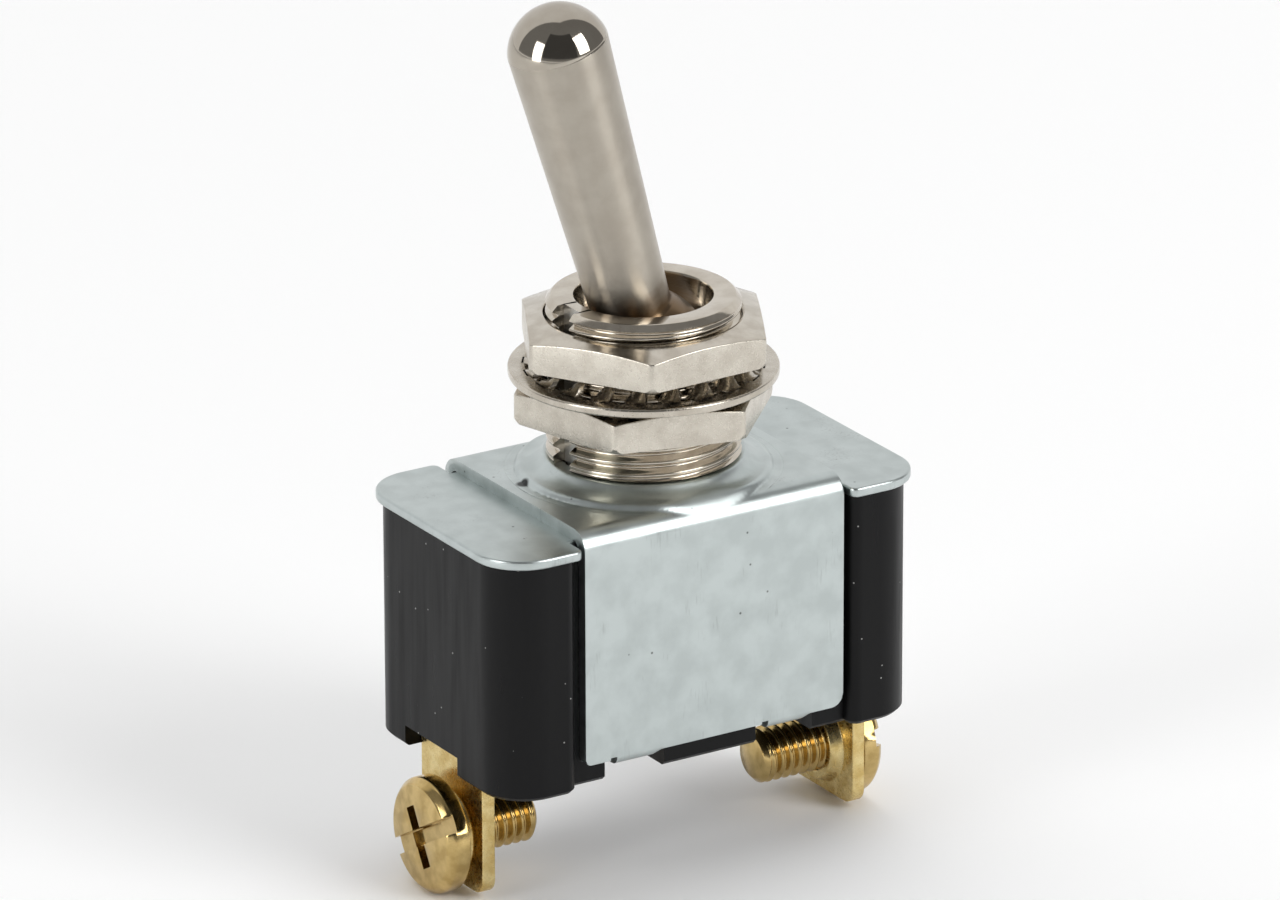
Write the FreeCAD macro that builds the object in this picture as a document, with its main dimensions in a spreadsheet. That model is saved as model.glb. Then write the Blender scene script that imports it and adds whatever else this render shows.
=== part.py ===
import FreeCAD, Part
import math
import os

import Sketcher

# Panel toggle switch, in millimetres.
# The origin is on the bushing's axis at the foot of its thread, on top of the bracket's boss.
# +Z runs out through the panel, +X along the case, and the lever swings in the XZ plane.

Vector = FreeCAD.Vector

SIZES = {
    # Threaded bushing
    "thread_radius": 5.953,
    "thread_pitch": 0.794,
    "thread_depth": 0.45,
    "first_land": 0.545,
    "foot_grooves": 3,
    "end_land": 0.461,
    "bushing_height": 10.1,
    "rim_bevel": 0.36,
    "mouth_radius": 4.25,
    "lip_radius": 3.75,
    "keyway_width": 1.9,
    "keyway_depth": 0.9,
    "spigot_radius": 5.0,
    "stake_radius": 5.5,
    "stake_thickness": 0.6,
    "bore_foot_radius": 4.35,
    "bore_foot_height": 0.4,
    # Lever, measured along its own axis from the pivot
    "pivot_height": 6.35,
    "lever_lean": 16.2,
    "ball_radius": 4.0,
    "ball_clearance": 0.05,
    "shaft_start": 3.1,
    "shaft_end": 21.5,
    "shaft_end_radius": 3.09,
    "lever_length": 24.0,
    "stem_radius": 1.5,
    "stem_length": 12.0,
    "stem_end_radius": 1.6,
    # Pivot pin and the ring that keeps the ball up against the lip
    "pin_radius": 0.8,
    "pin_clearance": 0.02,
    "pin_length": 9.1,
    "pin_slot_reach": 4.7,
    "pin_slot_clearance": 0.05,
    "retainer_top": 3.8,
    "retainer_height": 0.9,
    "retainer_bore": 3.2,
    "retainer_clearance": 0.02,
    # Hex nuts and the lock washer between them
    "nut_wall": 1.192,
    "nut_thickness": 2.38,
    "nut_clearance": 0.03,
    "nut_land": 0.12,
    "nut_top_slope": 15.5,
    "nut_foot_chamfer": 0.2,
    "nut_foot_slope": 63.5,
    "nut_entry": 0.12,
    "lower_nut_height": 2.68,
    "lower_nut_turn": 45.74,
    "upper_nut_turn": 1.84,
    "stack_clearance": 0.02,
    "washer_radius": 8.25,
    "washer_inner_radius": 7.2,
    "washer_thickness": 0.55,
    "washer_height": 1.52,
    "tooth_count": 20,
    "tooth_width": 1.5,
    "tooth_twist": 50.0,
    "tooth_clearance": 0.1,
    "tooth_root": 0.3,
    # Bracket of drawn and folded sheet
    "bracket_length": 18.43,
    "bracket_width": 16.3,
    "bracket_sheet": 0.76,
    "bend_radius": 1.3,
    "bracket_top": -1.0,
    "leg_foot": -15.96,
    "boss_radius": 7.9,
    "boss_rim_radius": 7.45,
    "boss_rim_height": 0.36,
    "boss_top_radius": 6.15,
    "spigot_clearance": 0.02,
    "sharp_corner": 0.4,
    "blunt_corner": 0.85,
    "tab_drop": 0.44,
    "tab_bend_radius": 0.9,
    "tab_reach": 3.3,
    "near_tab_start": -7.0,
    "near_tab_end": -4.4,
    "far_tab_start": 3.8,
    "far_tab_end": 6.25,
    "tab_flank": 0.82,
    # Cover plate under the bracket
    "plate_end_overhang": 0.35,
    "plate_side_overhang": 0.4,
    "plate_thickness": 0.64,
    "plate_corner": 3.2,
    "waist_clearance": 0.35,
    "waist_corner": 0.5,
    "plate_bore": 5.0,
    # Insulator sheet let into the case
    "insulator_end_margin": 1.65,
    "insulator_width": 12.6,
    "insulator_thickness": 0.35,
    "insulator_corner": 1.0,
    "insulator_slot": 4.7,
    "insulator_slot_half": 2.1,
    "insulator_clearance": 0.1,
    # Moulded case
    "case_length": 29.7,
    "case_proud": 0.1,
    "case_below_leg": 1.54,
    "case_corner": 3.0,
    "recess_clearance": 0.535,
    "recess_corner": 0.8,
    "bracket_gap": 0.04,
    "cavity_width": 11.2,
    "cavity_corner": 0.5,
    "ledge_height": -8.0,
    "well_width": 8.4,
    "floor_thickness": 2.9,
    "foot_edge": 0.25,
    "tab_notch_room": 0.36,
    "tab_notch_margin": 0.4,
    "tab_notch_depth": 4.0,
    "end_notch_near": -2.45,
    "end_notch_far": 3.7,
    "end_notch_height": 1.36,
    # Terminals
    "terminal_width": 7.2,
    "terminal_thickness": 0.9,
    "end_wall": 1.05,
    "tail_length": 7.6,
    "terminal_corner": 1.0,
    "terminal_bend": 0.8,
    "terminal_clearance": 0.03,
    "left_leg_tip": -0.1,
    "right_leg_tip": 4.9,
    "collar_height": 0.8,
    "collar_radius": 2.6,
    "collar_draft": 0.3,
    "screw_above_tail": 3.2,
    "tap_clearance": 0.03,
    # Contacts
    "contact_thickness": 0.25,
    "contact_half_width": 1.75,
    "contact_edge": 0.1,
    "contact_margin": 0.6,
    "button_radius": 1.3,
    "button_offset": 4.2,
    "button_crown": 0.12,
    "contact_gap": 0.02,
    "bridge_half_length": 5.65,
    "bridge_width": 4.8,
    "bridge_thickness": 0.8,
    "bridge_corner": 1.2,
    "bridge_height": 0.45,
    "bridge_lift": 0.4,
    # Sliding carriage
    "carriage_half_length": 6.5,
    "carriage_side_clearance": 0.2,
    "rail_clearance": 0.05,
    "rail_width": 1.1,
    "carriage_deck": -4.6,
    "ledge_clearance": 0.1,
    "lower_block_clearance": 0.3,
    "socket_clearance": 0.1,
    "socket_floor": -7.6,
    "socket_flare": 0.5,
    "spring_pocket_radius": 2.35,
    "spring_roof": -8.4,
    "cheek_gap": 0.12,
    "cheek_clearance": 0.25,
    # Contact spring
    "spring_radius": 1.75,
    "spring_wire": 0.22,
    "spring_turns": 4.0,
    # Terminal screws, measured from the underside of the head
    "screw_radius": 1.75,
    "screw_length": 6.0,
    "screw_tip": 0.35,
    "head_radius": 3.65,
    "head_face_radius": 3.3,
    "head_height": 1.6,
    "head_edge": 0.55,
    "slot_width": 1.05,
    "slot_depth": 0.75,
    "cross_width": 0.95,
    "cross_length": 3.9,
    "cross_depth": 1.1,
    "left_slot_turn": 30.0,
    "right_slot_turn": 75.0,
    # How far a cut runs past the piece
    "cut_margin": 1.0,
}

# Edge choosers compare places within this distance, and skip edges shorter than the other
PLACE_TOLERANCE = 0.01
SHORTEST_EDGE = 0.1

doc = FreeCAD.newDocument("PanelToggleSwitch")
sheet = doc.addObject("Spreadsheet::Sheet", "Size")
for row, (alias, number) in enumerate(SIZES.items(), start=1):
    sheet.set(f"A{row}", alias)
    sheet.set(f"B{row}", str(number))
    sheet.setAlias(f"B{row}", alias)
doc.recompute()


def value(expression):
    """Return the number that an expression over the sheet has now."""
    return float(sheet.evalExpression(expression))


def origin_feature(body, role):
    """Return one of the body's own origin planes or axes."""
    return next(item for item in body.Origin.OriginFeatures if item.Role == role)


def new_body(label):
    """Start a sub-part."""
    body = doc.addObject("PartDesign::Body", label)
    body.Label = label
    return body


def new_sketch(body, name, plane, offset="0"):
    """Attach a sketch to an origin plane of its body, moved along the plane's normal."""
    sketch = body.newObject("Sketcher::SketchObject", f"{name}_sketch")
    sketch.AttachmentSupport = [(origin_feature(body, plane), "")]
    sketch.MapMode = "FlatFace"
    sketch.setExpression("AttachmentOffset.Base.z", offset)
    return sketch


def place_point(sketch, geometry, point, across=None, along=None):
    """Tie a point of a sketch element to expressions measured from the sketch's origin."""
    for kind, axis, expression in (("DistanceX", -2, across), ("DistanceY", -1, along)):
        if expression is None:
            continue
        if expression == "0":
            sketch.addConstraint(Sketcher.Constraint("PointOnObject", geometry, point, axis))
            continue
        number = value(expression)
        index = sketch.addConstraint(Sketcher.Constraint(kind, -1, 1, geometry, point, number))
        sketch.setExpression(f"Constraints[{index}]", expression)


def circle(sketch, radius, across="0", along="0"):
    """Draw a circle."""
    middle = Vector(value(across), value(along), 0)
    index = sketch.addGeometry(Part.Circle(middle, Vector(0, 0, 1), value(radius)))
    place_point(sketch, index, 3, across, along)
    size = sketch.addConstraint(Sketcher.Constraint("Radius", index, value(radius)))
    sketch.setExpression(f"Constraints[{size}]", radius)


def outline(sketch, corners):
    """Draw a closed loop.

    A corner is (across, along). An arc that leads to a corner adds its centre and its turn:
    (across, along, centre across, centre along, turn), with a turn of 1 counter-clockwise.
    The first corner is reached by a line.
    """
    places = [Vector(value(corner[0]), value(corner[1]), 0) for corner in corners]
    ends = []
    for number, corner in enumerate(corners):
        start, end = places[number - 1], places[number]
        across, along = corner[0], corner[1]
        if len(corner) == 2:
            index = sketch.addGeometry(Part.LineSegment(start, end))
            ends.append((index, 1, 2))
            place_point(sketch, index, 2, across, along)
            continue
        middle = Vector(value(corner[2]), value(corner[3]), 0)
        first, last = (start, end) if corner[4] > 0 else (end, start)
        angles = [math.atan2(spot.y - middle.y, spot.x - middle.x) for spot in (first, last)]
        if angles[1] <= angles[0]:
            angles[1] += 2 * math.pi
        ring = Part.Circle(middle, Vector(0, 0, 1), (start - middle).Length)
        index = sketch.addGeometry(Part.ArcOfCircle(ring, *angles))
        begin_point, end_point = (1, 2) if corner[4] > 0 else (2, 1)
        ends.append((index, begin_point, end_point))
        place_point(sketch, index, 3, corner[2], corner[3])
        # The arc's radius settles one coordinate of its end, so only the other one is tied
        if abs(end.y - middle.y) > abs(end.x - middle.x):
            place_point(sketch, index, end_point, across=across)
        else:
            place_point(sketch, index, end_point, along=along)
    for number, (index, begin_point, _) in enumerate(ends):
        before, _, before_end = ends[number - 1]
        joint = Sketcher.Constraint("Coincident", before, before_end, index, begin_point)
        sketch.addConstraint(joint)


def rectangle(sketch, left, right, low, high):
    """Draw a rectangle from its four sides."""
    outline(sketch, [(left, low), (right, low), (right, high), (left, high)])


def rounded_rectangle(sketch, half_across, half_along, radius):
    """Draw a rectangle about the sketch's origin with four round corners."""
    inner_across, inner_along = f"{half_across} - {radius}", f"{half_along} - {radius}"
    outline(sketch, [
        (inner_across, f"-{half_along}"),
        (half_across, f"-({inner_along})", inner_across, f"-({inner_along})", 1),
        (half_across, inner_along),
        (inner_across, half_along, inner_across, inner_along, 1),
        (f"-({inner_across})", half_along),
        (f"-{half_across}", inner_along, f"-({inner_across})", inner_along, 1),
        (f"-{half_across}", f"-({inner_along})"),
        (f"-({inner_across})", f"-{half_along}",
         f"-({inner_across})", f"-({inner_along})", 1),
    ])


def add(body, name, plane, low, high, draw):
    """Pad what draw puts on a sketch, from low to high along the plane's normal."""
    sketch = new_sketch(body, name, plane, low)
    draw(sketch)
    feature = body.newObject("PartDesign::Pad", name)
    feature.Profile = sketch
    feature.setExpression("Length", f"({high}) - ({low})")
    return feature


def cut(body, name, plane, low, high, draw):
    """Pocket what draw puts on a sketch, from high down to low along the plane's normal."""
    sketch = new_sketch(body, name, plane, high)
    draw(sketch)
    feature = body.newObject("PartDesign::Pocket", name)
    feature.Profile = sketch
    feature.setExpression("Length", f"({high}) - ({low})")
    return feature


def turn(body, name, corners, kind="PartDesign::Revolution"):
    """Revolve an outline of radius and height about the body's Z axis."""
    sketch = new_sketch(body, name, "XZ_Plane")
    outline(sketch, corners)
    feature = body.newObject(kind, name)
    feature.Profile = sketch
    feature.ReferenceAxis = (origin_feature(body, "Z_Axis"), [""])
    feature.Angle = 360
    return feature


def polar_copies(body, name, originals, count):
    """Repeat features around the body's Z axis."""
    pattern = body.newObject("PartDesign::PolarPattern", name)
    pattern.Originals = originals
    pattern.Axis = (origin_feature(body, "Z_Axis"), [""])
    pattern.Angle = 360
    pattern.setExpression("Occurrences", count)
    body.Tip = pattern
    return pattern


def stacked_copies(body, name, originals, step, count):
    """Repeat features up the body's Z axis."""
    pattern = body.newObject("PartDesign::LinearPattern", name)
    pattern.Originals = originals
    pattern.Direction = (origin_feature(body, "Z_Axis"), [""])
    pattern.setExpression("Length", f"({step}) * (({count}) - 1)")
    pattern.setExpression("Occurrences", count)
    body.Tip = pattern
    return pattern


def dress(body, kind, name, size, chosen):
    """Fillet or chamfer the edges of the body that chosen accepts."""
    doc.recompute()
    base = body.Tip
    edges = [f"Edge{number}" for number, edge in enumerate(base.Shape.Edges, start=1)
             if chosen(edge)]
    feature = body.newObject(kind, name)
    feature.Base = (base, edges)
    feature.setExpression("Radius" if kind.endswith("Fillet") else "Size", size)
    return feature


def near(number, expression):
    """Tell whether a coordinate is at the place that an expression gives."""
    return abs(number - value(expression)) < PLACE_TOLERANCE


def upright(edge):
    """Tell whether an edge runs straight along Z."""
    run = edge.Vertexes[-1].Point - edge.Vertexes[0].Point
    return run.Length > SHORTEST_EDGE and math.hypot(run.x, run.y) < PLACE_TOLERANCE


def corner_at(across, along):
    """Choose the upright edges at plus or minus two plan coordinates."""
    def chosen(edge):
        spot = edge.Vertexes[0].Point
        return upright(edge) and near(abs(spot.x), across) and near(abs(spot.y), along)
    return chosen


# Places that several pieces share
PLATE_TOP = "Size.bracket_top - Size.bracket_sheet"
PLATE_FOOT = f"{PLATE_TOP} - Size.plate_thickness"
INSULATOR_FOOT = f"{PLATE_FOOT} - Size.insulator_thickness"
STAKE_TOP = "-Size.bracket_sheet"
STAKE_FOOT = f"{STAKE_TOP} - Size.stake_thickness"
BORE_RADIUS = "Size.ball_radius + Size.ball_clearance"
WASHER_BASE = "Size.lower_nut_height + Size.nut_thickness + Size.stack_clearance"
UPPER_NUT_HEIGHT = f"{WASHER_BASE} + Size.washer_height + Size.stack_clearance"
LEG_INNER = "Size.bracket_width / 2 - Size.bracket_sheet"
CASE_WAIST = f"{LEG_INNER} - Size.bracket_gap"
CASE_END = "(Size.case_length / 2)"
CASE_SIDE = "(Size.bracket_width / 2 + Size.case_proud)"
CASE_FOOT = "Size.leg_foot - Size.case_below_leg"
FLOOR = f"{CASE_FOOT} + Size.floor_thickness"
INSULATOR_END = f"({CASE_END} - Size.insulator_end_margin)"
RECESS_END = "(Size.bracket_length / 2 + Size.recess_clearance)"
TRAVEL = "Size.stem_length * sin(Size.lever_lean * 1deg)"
TERMINAL_FACE = f"({CASE_END} - Size.end_wall)"
TERMINAL_BACK = f"({TERMINAL_FACE} - Size.terminal_thickness)"
TERMINAL_FOOT = f"{CASE_FOOT} - Size.tail_length"
SCREW_HEIGHT = f"{TERMINAL_FOOT} + Size.screw_above_tail"
CONTACT_TOP = f"{FLOOR} + Size.terminal_thickness + Size.contact_thickness"
BUTTON_FOOT = f"{CONTACT_TOP} + Size.contact_gap"
BRIDGE_FOOT = f"{BUTTON_FOOT} + Size.bridge_height"
BRIDGE_TOP = f"{BRIDGE_FOOT} + Size.bridge_thickness"


def make_bushing():
    """Turned and threaded bushing, staked into the bracket, with the lever's seat."""
    body = new_body("bushing")
    rim = "Size.bushing_height - Size.rim_bevel"
    lip = (f"Size.pivot_height"
           f" + sqrt(({BORE_RADIUS}) * ({BORE_RADIUS}) - Size.lip_radius * Size.lip_radius)")
    bore_foot = f"{STAKE_FOOT} + Size.bore_foot_height"
    turn(body, "bushing_turning", [
        (BORE_RADIUS, bore_foot),
        ("Size.bore_foot_radius", STAKE_FOOT),
        ("Size.stake_radius", STAKE_FOOT),
        ("Size.stake_radius", STAKE_TOP),
        ("Size.spigot_radius", STAKE_TOP),
        ("Size.spigot_radius", "0"),
        ("Size.thread_radius", "0"),
        ("Size.thread_radius", rim),
        ("Size.thread_radius - Size.rim_bevel", "Size.bushing_height"),
        ("Size.mouth_radius", "Size.bushing_height"),
        ("Size.lip_radius", lip),
        (BORE_RADIUS, "Size.pivot_height", "0", "Size.pivot_height", -1),
    ])
    # The grooves are cut where the thread shows, above the upper nut and below the lower one
    grooves = {"rim": f"{rim} - Size.end_land - Size.thread_pitch", "foot": "Size.first_land"}
    for name, start in grooves.items():
        groove = turn(body, f"{name}_groove", [
            ("Size.thread_radius", start),
            ("Size.thread_radius + Size.thread_depth", start),
            ("Size.thread_radius + Size.thread_depth", f"{start} + Size.thread_pitch"),
            ("Size.thread_radius", f"{start} + Size.thread_pitch"),
            ("Size.thread_radius - Size.thread_depth", f"{start} + Size.thread_pitch / 2"),
        ], kind="PartDesign::Groove")
    stacked_copies(body, "foot_grooves", [groove], "Size.thread_pitch", "Size.foot_grooves")
    cut(body, "keyway", "XY_Plane", "0", "Size.bushing_height", lambda sketch: rectangle(
        sketch, "-Size.thread_radius - Size.keyway_depth",
        "-Size.thread_radius + Size.keyway_depth",
        "-Size.keyway_width / 2", "Size.keyway_width / 2"))
    slot_half = "Size.pin_radius + Size.pin_slot_clearance"

    def pin_slot(sketch):
        outline(sketch, [
            (f"-({slot_half})", f"{STAKE_FOOT} - Size.stake_thickness"),
            (slot_half, f"{STAKE_FOOT} - Size.stake_thickness"),
            (slot_half, "Size.pivot_height"),
            (f"-({slot_half})", "Size.pivot_height", "0", "Size.pivot_height", 1),
        ])
    cut(body, "pin_slots", "XZ_Plane", "-Size.pin_slot_reach", "Size.pin_slot_reach", pin_slot)
    return body


def make_ball_retainer():
    """Ring pressed into the bushing under the ball."""
    body = new_body("ball_retainer")
    outer = f"{BORE_RADIUS} - Size.retainer_clearance"
    foot = "Size.retainer_top - Size.retainer_height"
    turn(body, "retainer_ring", [
        ("Size.retainer_bore", foot),
        (outer, foot),
        (outer, "Size.retainer_top"),
        ("Size.retainer_bore", "Size.retainer_top"),
    ])
    return body


def lean_with_lever(body):
    """Put a body drawn about the pivot onto the leaning lever axis."""
    lean = FreeCAD.Rotation(Vector(0, -1, 0), value("Size.lever_lean"))
    body.Placement = FreeCAD.Placement(Vector(0, 0, value("Size.pivot_height")), lean)
    body.setExpression("Placement.Base.z", "Size.pivot_height")
    body.setExpression("Placement.Rotation.Angle", "Size.lever_lean * 1deg")


def make_lever():
    """One turned piece: domed handle, ball, and the stem that drives the carriage."""
    body = new_body("toggle_lever")
    ball = "Size.ball_radius"
    end = "Size.stem_end_radius"
    stem_top = f"-sqrt({ball} * {ball} - Size.stem_radius * Size.stem_radius)"
    stem_foot = (f"-Size.stem_length + sqrt({end} * {end}"
                 " - Size.stem_radius * Size.stem_radius)")
    neck = f"sqrt({ball} * {ball} - Size.shaft_start * Size.shaft_start)"
    rise = "(Size.lever_length - Size.shaft_end)"
    edge = "Size.shaft_end_radius"
    dome = f"(({edge} * {edge} + {rise} * {rise}) / (2 * {rise}))"
    turn(body, "lever_turning", [
        ("0", f"-Size.stem_length - {end}"),
        ("Size.stem_radius", stem_foot, "0", "-Size.stem_length", 1),
        ("Size.stem_radius", stem_top),
        (neck, "Size.shaft_start", "0", "0", 1),
        ("Size.shaft_end_radius", "Size.shaft_end"),
        ("0", "Size.lever_length", "0", f"Size.lever_length - {dome}", 1),
    ])
    cut(body, "pin_hole", "XZ_Plane", "-Size.ball_radius", "Size.ball_radius",
        lambda sketch: circle(sketch, "Size.pin_radius + Size.pin_clearance / 2"))
    lean_with_lever(body)
    return body


def make_pivot_pin():
    """Cross pin through the ball."""
    body = new_body("pivot_pin")
    add(body, "pin_rod", "XZ_Plane", "-Size.pin_length / 2", "Size.pin_length / 2",
        lambda sketch: circle(sketch, "Size.pin_radius"))
    lean_with_lever(body)
    return body


def make_nut(label, height, turn_name):
    """Hex nut with a shallow cone for its top, its foot's corners broken, and eased mouths."""
    body = new_body(label)
    top = f"{height} + Size.nut_thickness"
    bore = "Size.thread_radius + Size.nut_clearance"
    corner = "((Size.thread_radius + Size.nut_wall) / cos(30deg))"
    past_corner = f"{corner} + Size.cut_margin"

    def hexagon(sketch):
        outline(sketch, [
            (f"{corner} * cos(60deg * {side} + {turn_name} * 1deg)",
             f"{corner} * sin(60deg * {side} + {turn_name} * 1deg)")
            for side in range(6)])
    add(body, f"{label}_blank", "XY_Plane", height, top, hexagon)
    cone_start = f"({bore} + Size.nut_entry + Size.nut_land)"
    foot_start = f"({corner} - Size.nut_foot_chamfer)"
    for end, face, sign, start, slope in (
            ("top", top, "-", cone_start, "Size.nut_top_slope"),
            ("foot", height, "+", foot_start, "Size.nut_foot_slope")):
        turn(body, f"{label}_{end}_chamfer", [
            (start, face),
            (past_corner, face),
            (past_corner, f"{face} {sign} ({past_corner} - {start}) * tan({slope} * 1deg)"),
        ], kind="PartDesign::Groove")
    cut(body, f"{label}_bore", "XY_Plane", height, top, lambda sketch: circle(sketch, bore))
    for end, face, sign in (("top", top, "-"), ("foot", height, "+")):
        turn(body, f"{label}_{end}_entry", [
            ("Size.spigot_radius", face),
            (f"{bore} + Size.nut_entry", face),
            (bore, f"{face} {sign} Size.nut_entry"),
            ("Size.spigot_radius", f"{face} {sign} Size.nut_entry"),
        ], kind="PartDesign::Groove")
    return body


def make_lock_washer():
    """Internal-tooth lock washer: a ring with twisted teeth."""
    body = new_body("lock_washer")
    low, thick = WASHER_BASE, "Size.washer_thickness"
    turn(body, "washer_ring", [
        ("Size.washer_inner_radius", low),
        ("Size.washer_radius", low),
        ("Size.washer_radius", f"{low} + {thick}"),
        ("Size.washer_inner_radius", f"{low} + {thick}"),
    ])
    middle = f"({low} + Size.washer_height / 2)"
    twist, half = "Size.tooth_twist * 1deg", "Size.tooth_width / 2"

    def twisted_plate(sketch):
        corners = []
        for side, face in ((-1, -1), (1, -1), (1, 1), (-1, 1)):
            along, across = f"({side} * {half})", f"({face} * {thick} / 2)"
            corners.append((f"{along} * cos({twist}) - {across} * sin({twist})",
                            f"{middle} + {along} * sin({twist}) + {across} * cos({twist})"))
        outline(sketch, corners)
    tooth = add(body, "tooth", "YZ_Plane", "Size.thread_radius + Size.tooth_clearance",
                "Size.washer_inner_radius + Size.tooth_root", twisted_plate)
    polar_copies(body, "teeth", [tooth], "Size.tooth_count")
    return body


def make_bracket():
    """Inverted channel with a drawn boss for the bushing and tabs folded under the case."""
    body = new_body("bracket")
    half, sheet_t = "Size.bracket_width / 2", "Size.bracket_sheet"
    inner_bend = "(Size.bend_radius - Size.bracket_sheet)"
    bend_centre, bend_height = f"{half} - Size.bend_radius", "Size.bracket_top - Size.bend_radius"

    def channel(sketch):
        outline(sketch, [
            (f"-({bend_centre})", "Size.bracket_top"),
            (f"-{half}", bend_height, f"-({bend_centre})", bend_height, 1),
            (f"-{half}", "Size.leg_foot"),
            (f"-({half} - {sheet_t})", "Size.leg_foot"),
            (f"-({half} - {sheet_t})", bend_height),
            (f"-({bend_centre})", f"Size.bracket_top - {sheet_t}",
             f"-({bend_centre})", bend_height, -1),
            (bend_centre, f"Size.bracket_top - {sheet_t}"),
            (f"{half} - {sheet_t}", bend_height, bend_centre, bend_height, -1),
            (f"{half} - {sheet_t}", "Size.leg_foot"),
            (half, "Size.leg_foot"),
            (half, bend_height),
            (bend_centre, "Size.bracket_top", bend_centre, bend_height, 1),
        ])
    add(body, "channel", "YZ_Plane", "-Size.bracket_length / 2", "Size.bracket_length / 2",
        channel)
    for name, sign, size in (("sharp", -1, "Size.sharp_corner"),
                             ("blunt", 1, "Size.blunt_corner")):
        def leg_corner(edge, sign=sign):
            ends = [vertex.Point for vertex in edge.Vertexes]
            low = all(near(spot.z, "Size.leg_foot") for spot in ends)
            end_face = all(near(abs(spot.x), "Size.bracket_length / 2") for spot in ends)
            across = abs(ends[0].y - ends[-1].y) > SHORTEST_EDGE
            return low and end_face and across and ends[0].x * ends[0].y * sign < 0
        dress(body, "PartDesign::Fillet", f"{name}_leg_corners", size, leg_corner)

    bend_top = "Size.leg_foot - Size.tab_drop + Size.tab_bend_radius"
    tab_foot = "Size.leg_foot - Size.tab_drop"
    tab_centre = f"-({half} - Size.tab_bend_radius)"
    tab_inner = "(Size.tab_bend_radius - Size.bracket_sheet)"

    def folded_tab(sketch):
        outline(sketch, [
            (f"-{half}", bend_top),
            (tab_centre, tab_foot, tab_centre, bend_top, 1),
            (f"-{half} + Size.tab_reach", tab_foot),
            (f"-{half} + Size.tab_reach", f"{tab_foot} + {sheet_t}"),
            (tab_centre, f"{tab_foot} + {sheet_t}"),
            (f"-({half} - {sheet_t})", bend_top, tab_centre, bend_top, -1),
        ])
    features = []
    for name in ("near", "far"):
        start, end = f"Size.{name}_tab_start", f"Size.{name}_tab_end"
        flank_end = f"{end} + Size.tab_flank"
        features.append(cut(
            body, f"{name}_tab_root", "YZ_Plane", start, flank_end, lambda sketch: rectangle(
                sketch, f"-{half} - {sheet_t}", f"-{half} + 2 * {sheet_t}",
                tab_foot, bend_top)))
        features.append(add(body, f"{name}_tab", "YZ_Plane", start, flank_end, folded_tab))
        features.append(cut(
            body, f"{name}_tab_flank", "XZ_Plane", f"{half} - Size.tab_reach - {sheet_t}",
            f"{half} + {sheet_t}", lambda sketch: outline(sketch, [
                (flank_end, "Size.leg_foot"), (end, tab_foot), (flank_end, tab_foot)])))
    polar_copies(body, "both_legs", features, "2")

    cut(body, "boss_opening", "XY_Plane", f"Size.bracket_top - {sheet_t}",
        "Size.bracket_top", lambda sketch: circle(sketch, "Size.boss_rim_radius"))
    rim, rim_top = "Size.boss_rim_radius", "(Size.bracket_top + Size.boss_rim_height)"
    rise = f"(-{rim_top})"
    slope = f"({rim} - Size.boss_top_radius)"
    hollow_radius = f"(({slope} * {slope} + {rise} * {rise}) / (2 * {rise}))"
    bore = "Size.spigot_radius + Size.spigot_clearance"
    turn(body, "drawn_boss", [
        (bore, f"-{sheet_t}"),
        (f"Size.boss_top_radius - {sheet_t} / 2", f"-{sheet_t}"),
        (f"{rim} - {sheet_t} / 2", f"Size.bracket_top - {sheet_t}"),
        ("Size.boss_radius", f"Size.bracket_top - {sheet_t}"),
        ("Size.boss_radius", "Size.bracket_top"),
        (rim, rim_top),
        ("Size.boss_top_radius", "0", rim, f"{rim_top} + {hollow_radius}", -1),
        (bore, "0"),
    ])
    return body


def make_cover_plate():
    """Flat plate that closes the case, waisted where the bracket's legs pass."""
    body = new_body("cover_plate")
    half_x = f"({CASE_END} + Size.plate_end_overhang)"
    half_y = f"({CASE_SIDE} + Size.plate_side_overhang)"
    waist_x = "Size.bracket_length / 2 + Size.waist_clearance"
    waist_y = "Size.bracket_width / 2 - Size.bend_radius"
    add(body, "plate_blank", "XY_Plane", PLATE_FOOT, PLATE_TOP,
        lambda sketch: rounded_rectangle(sketch, half_x, half_y, "Size.plate_corner"))
    for side, low, high in (("front", f"-{half_y} - Size.cut_margin", f"-({waist_y})"),
                            ("back", waist_y, f"{half_y} + Size.cut_margin")):
        cut(body, f"{side}_waist", "XY_Plane", PLATE_FOOT, PLATE_TOP,
            lambda sketch: rectangle(sketch, f"-({waist_x})", waist_x, low, high))
    dress(body, "PartDesign::Fillet", "ear_corners", "Size.waist_corner",
          corner_at(waist_x, half_y))
    cut(body, "plate_bore", "XY_Plane", PLATE_FOOT, PLATE_TOP,
        lambda sketch: circle(sketch, "Size.plate_bore"))
    return body


def make_insulator():
    """Fibre sheet under the cover plate, slotted for the lever's stem."""
    body = new_body("insulator_sheet")
    add(body, "insulator_blank", "XY_Plane", INSULATOR_FOOT, PLATE_FOOT,
        lambda sketch: rounded_rectangle(sketch, INSULATOR_END, "Size.insulator_width / 2",
                                         "Size.insulator_corner"))
    cut(body, "stem_slot", "XY_Plane", INSULATOR_FOOT, PLATE_FOOT, lambda sketch: rectangle(
        sketch, "-Size.insulator_slot", "Size.insulator_slot",
        "-Size.insulator_slot_half", "Size.insulator_slot_half"))
    return body


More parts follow.
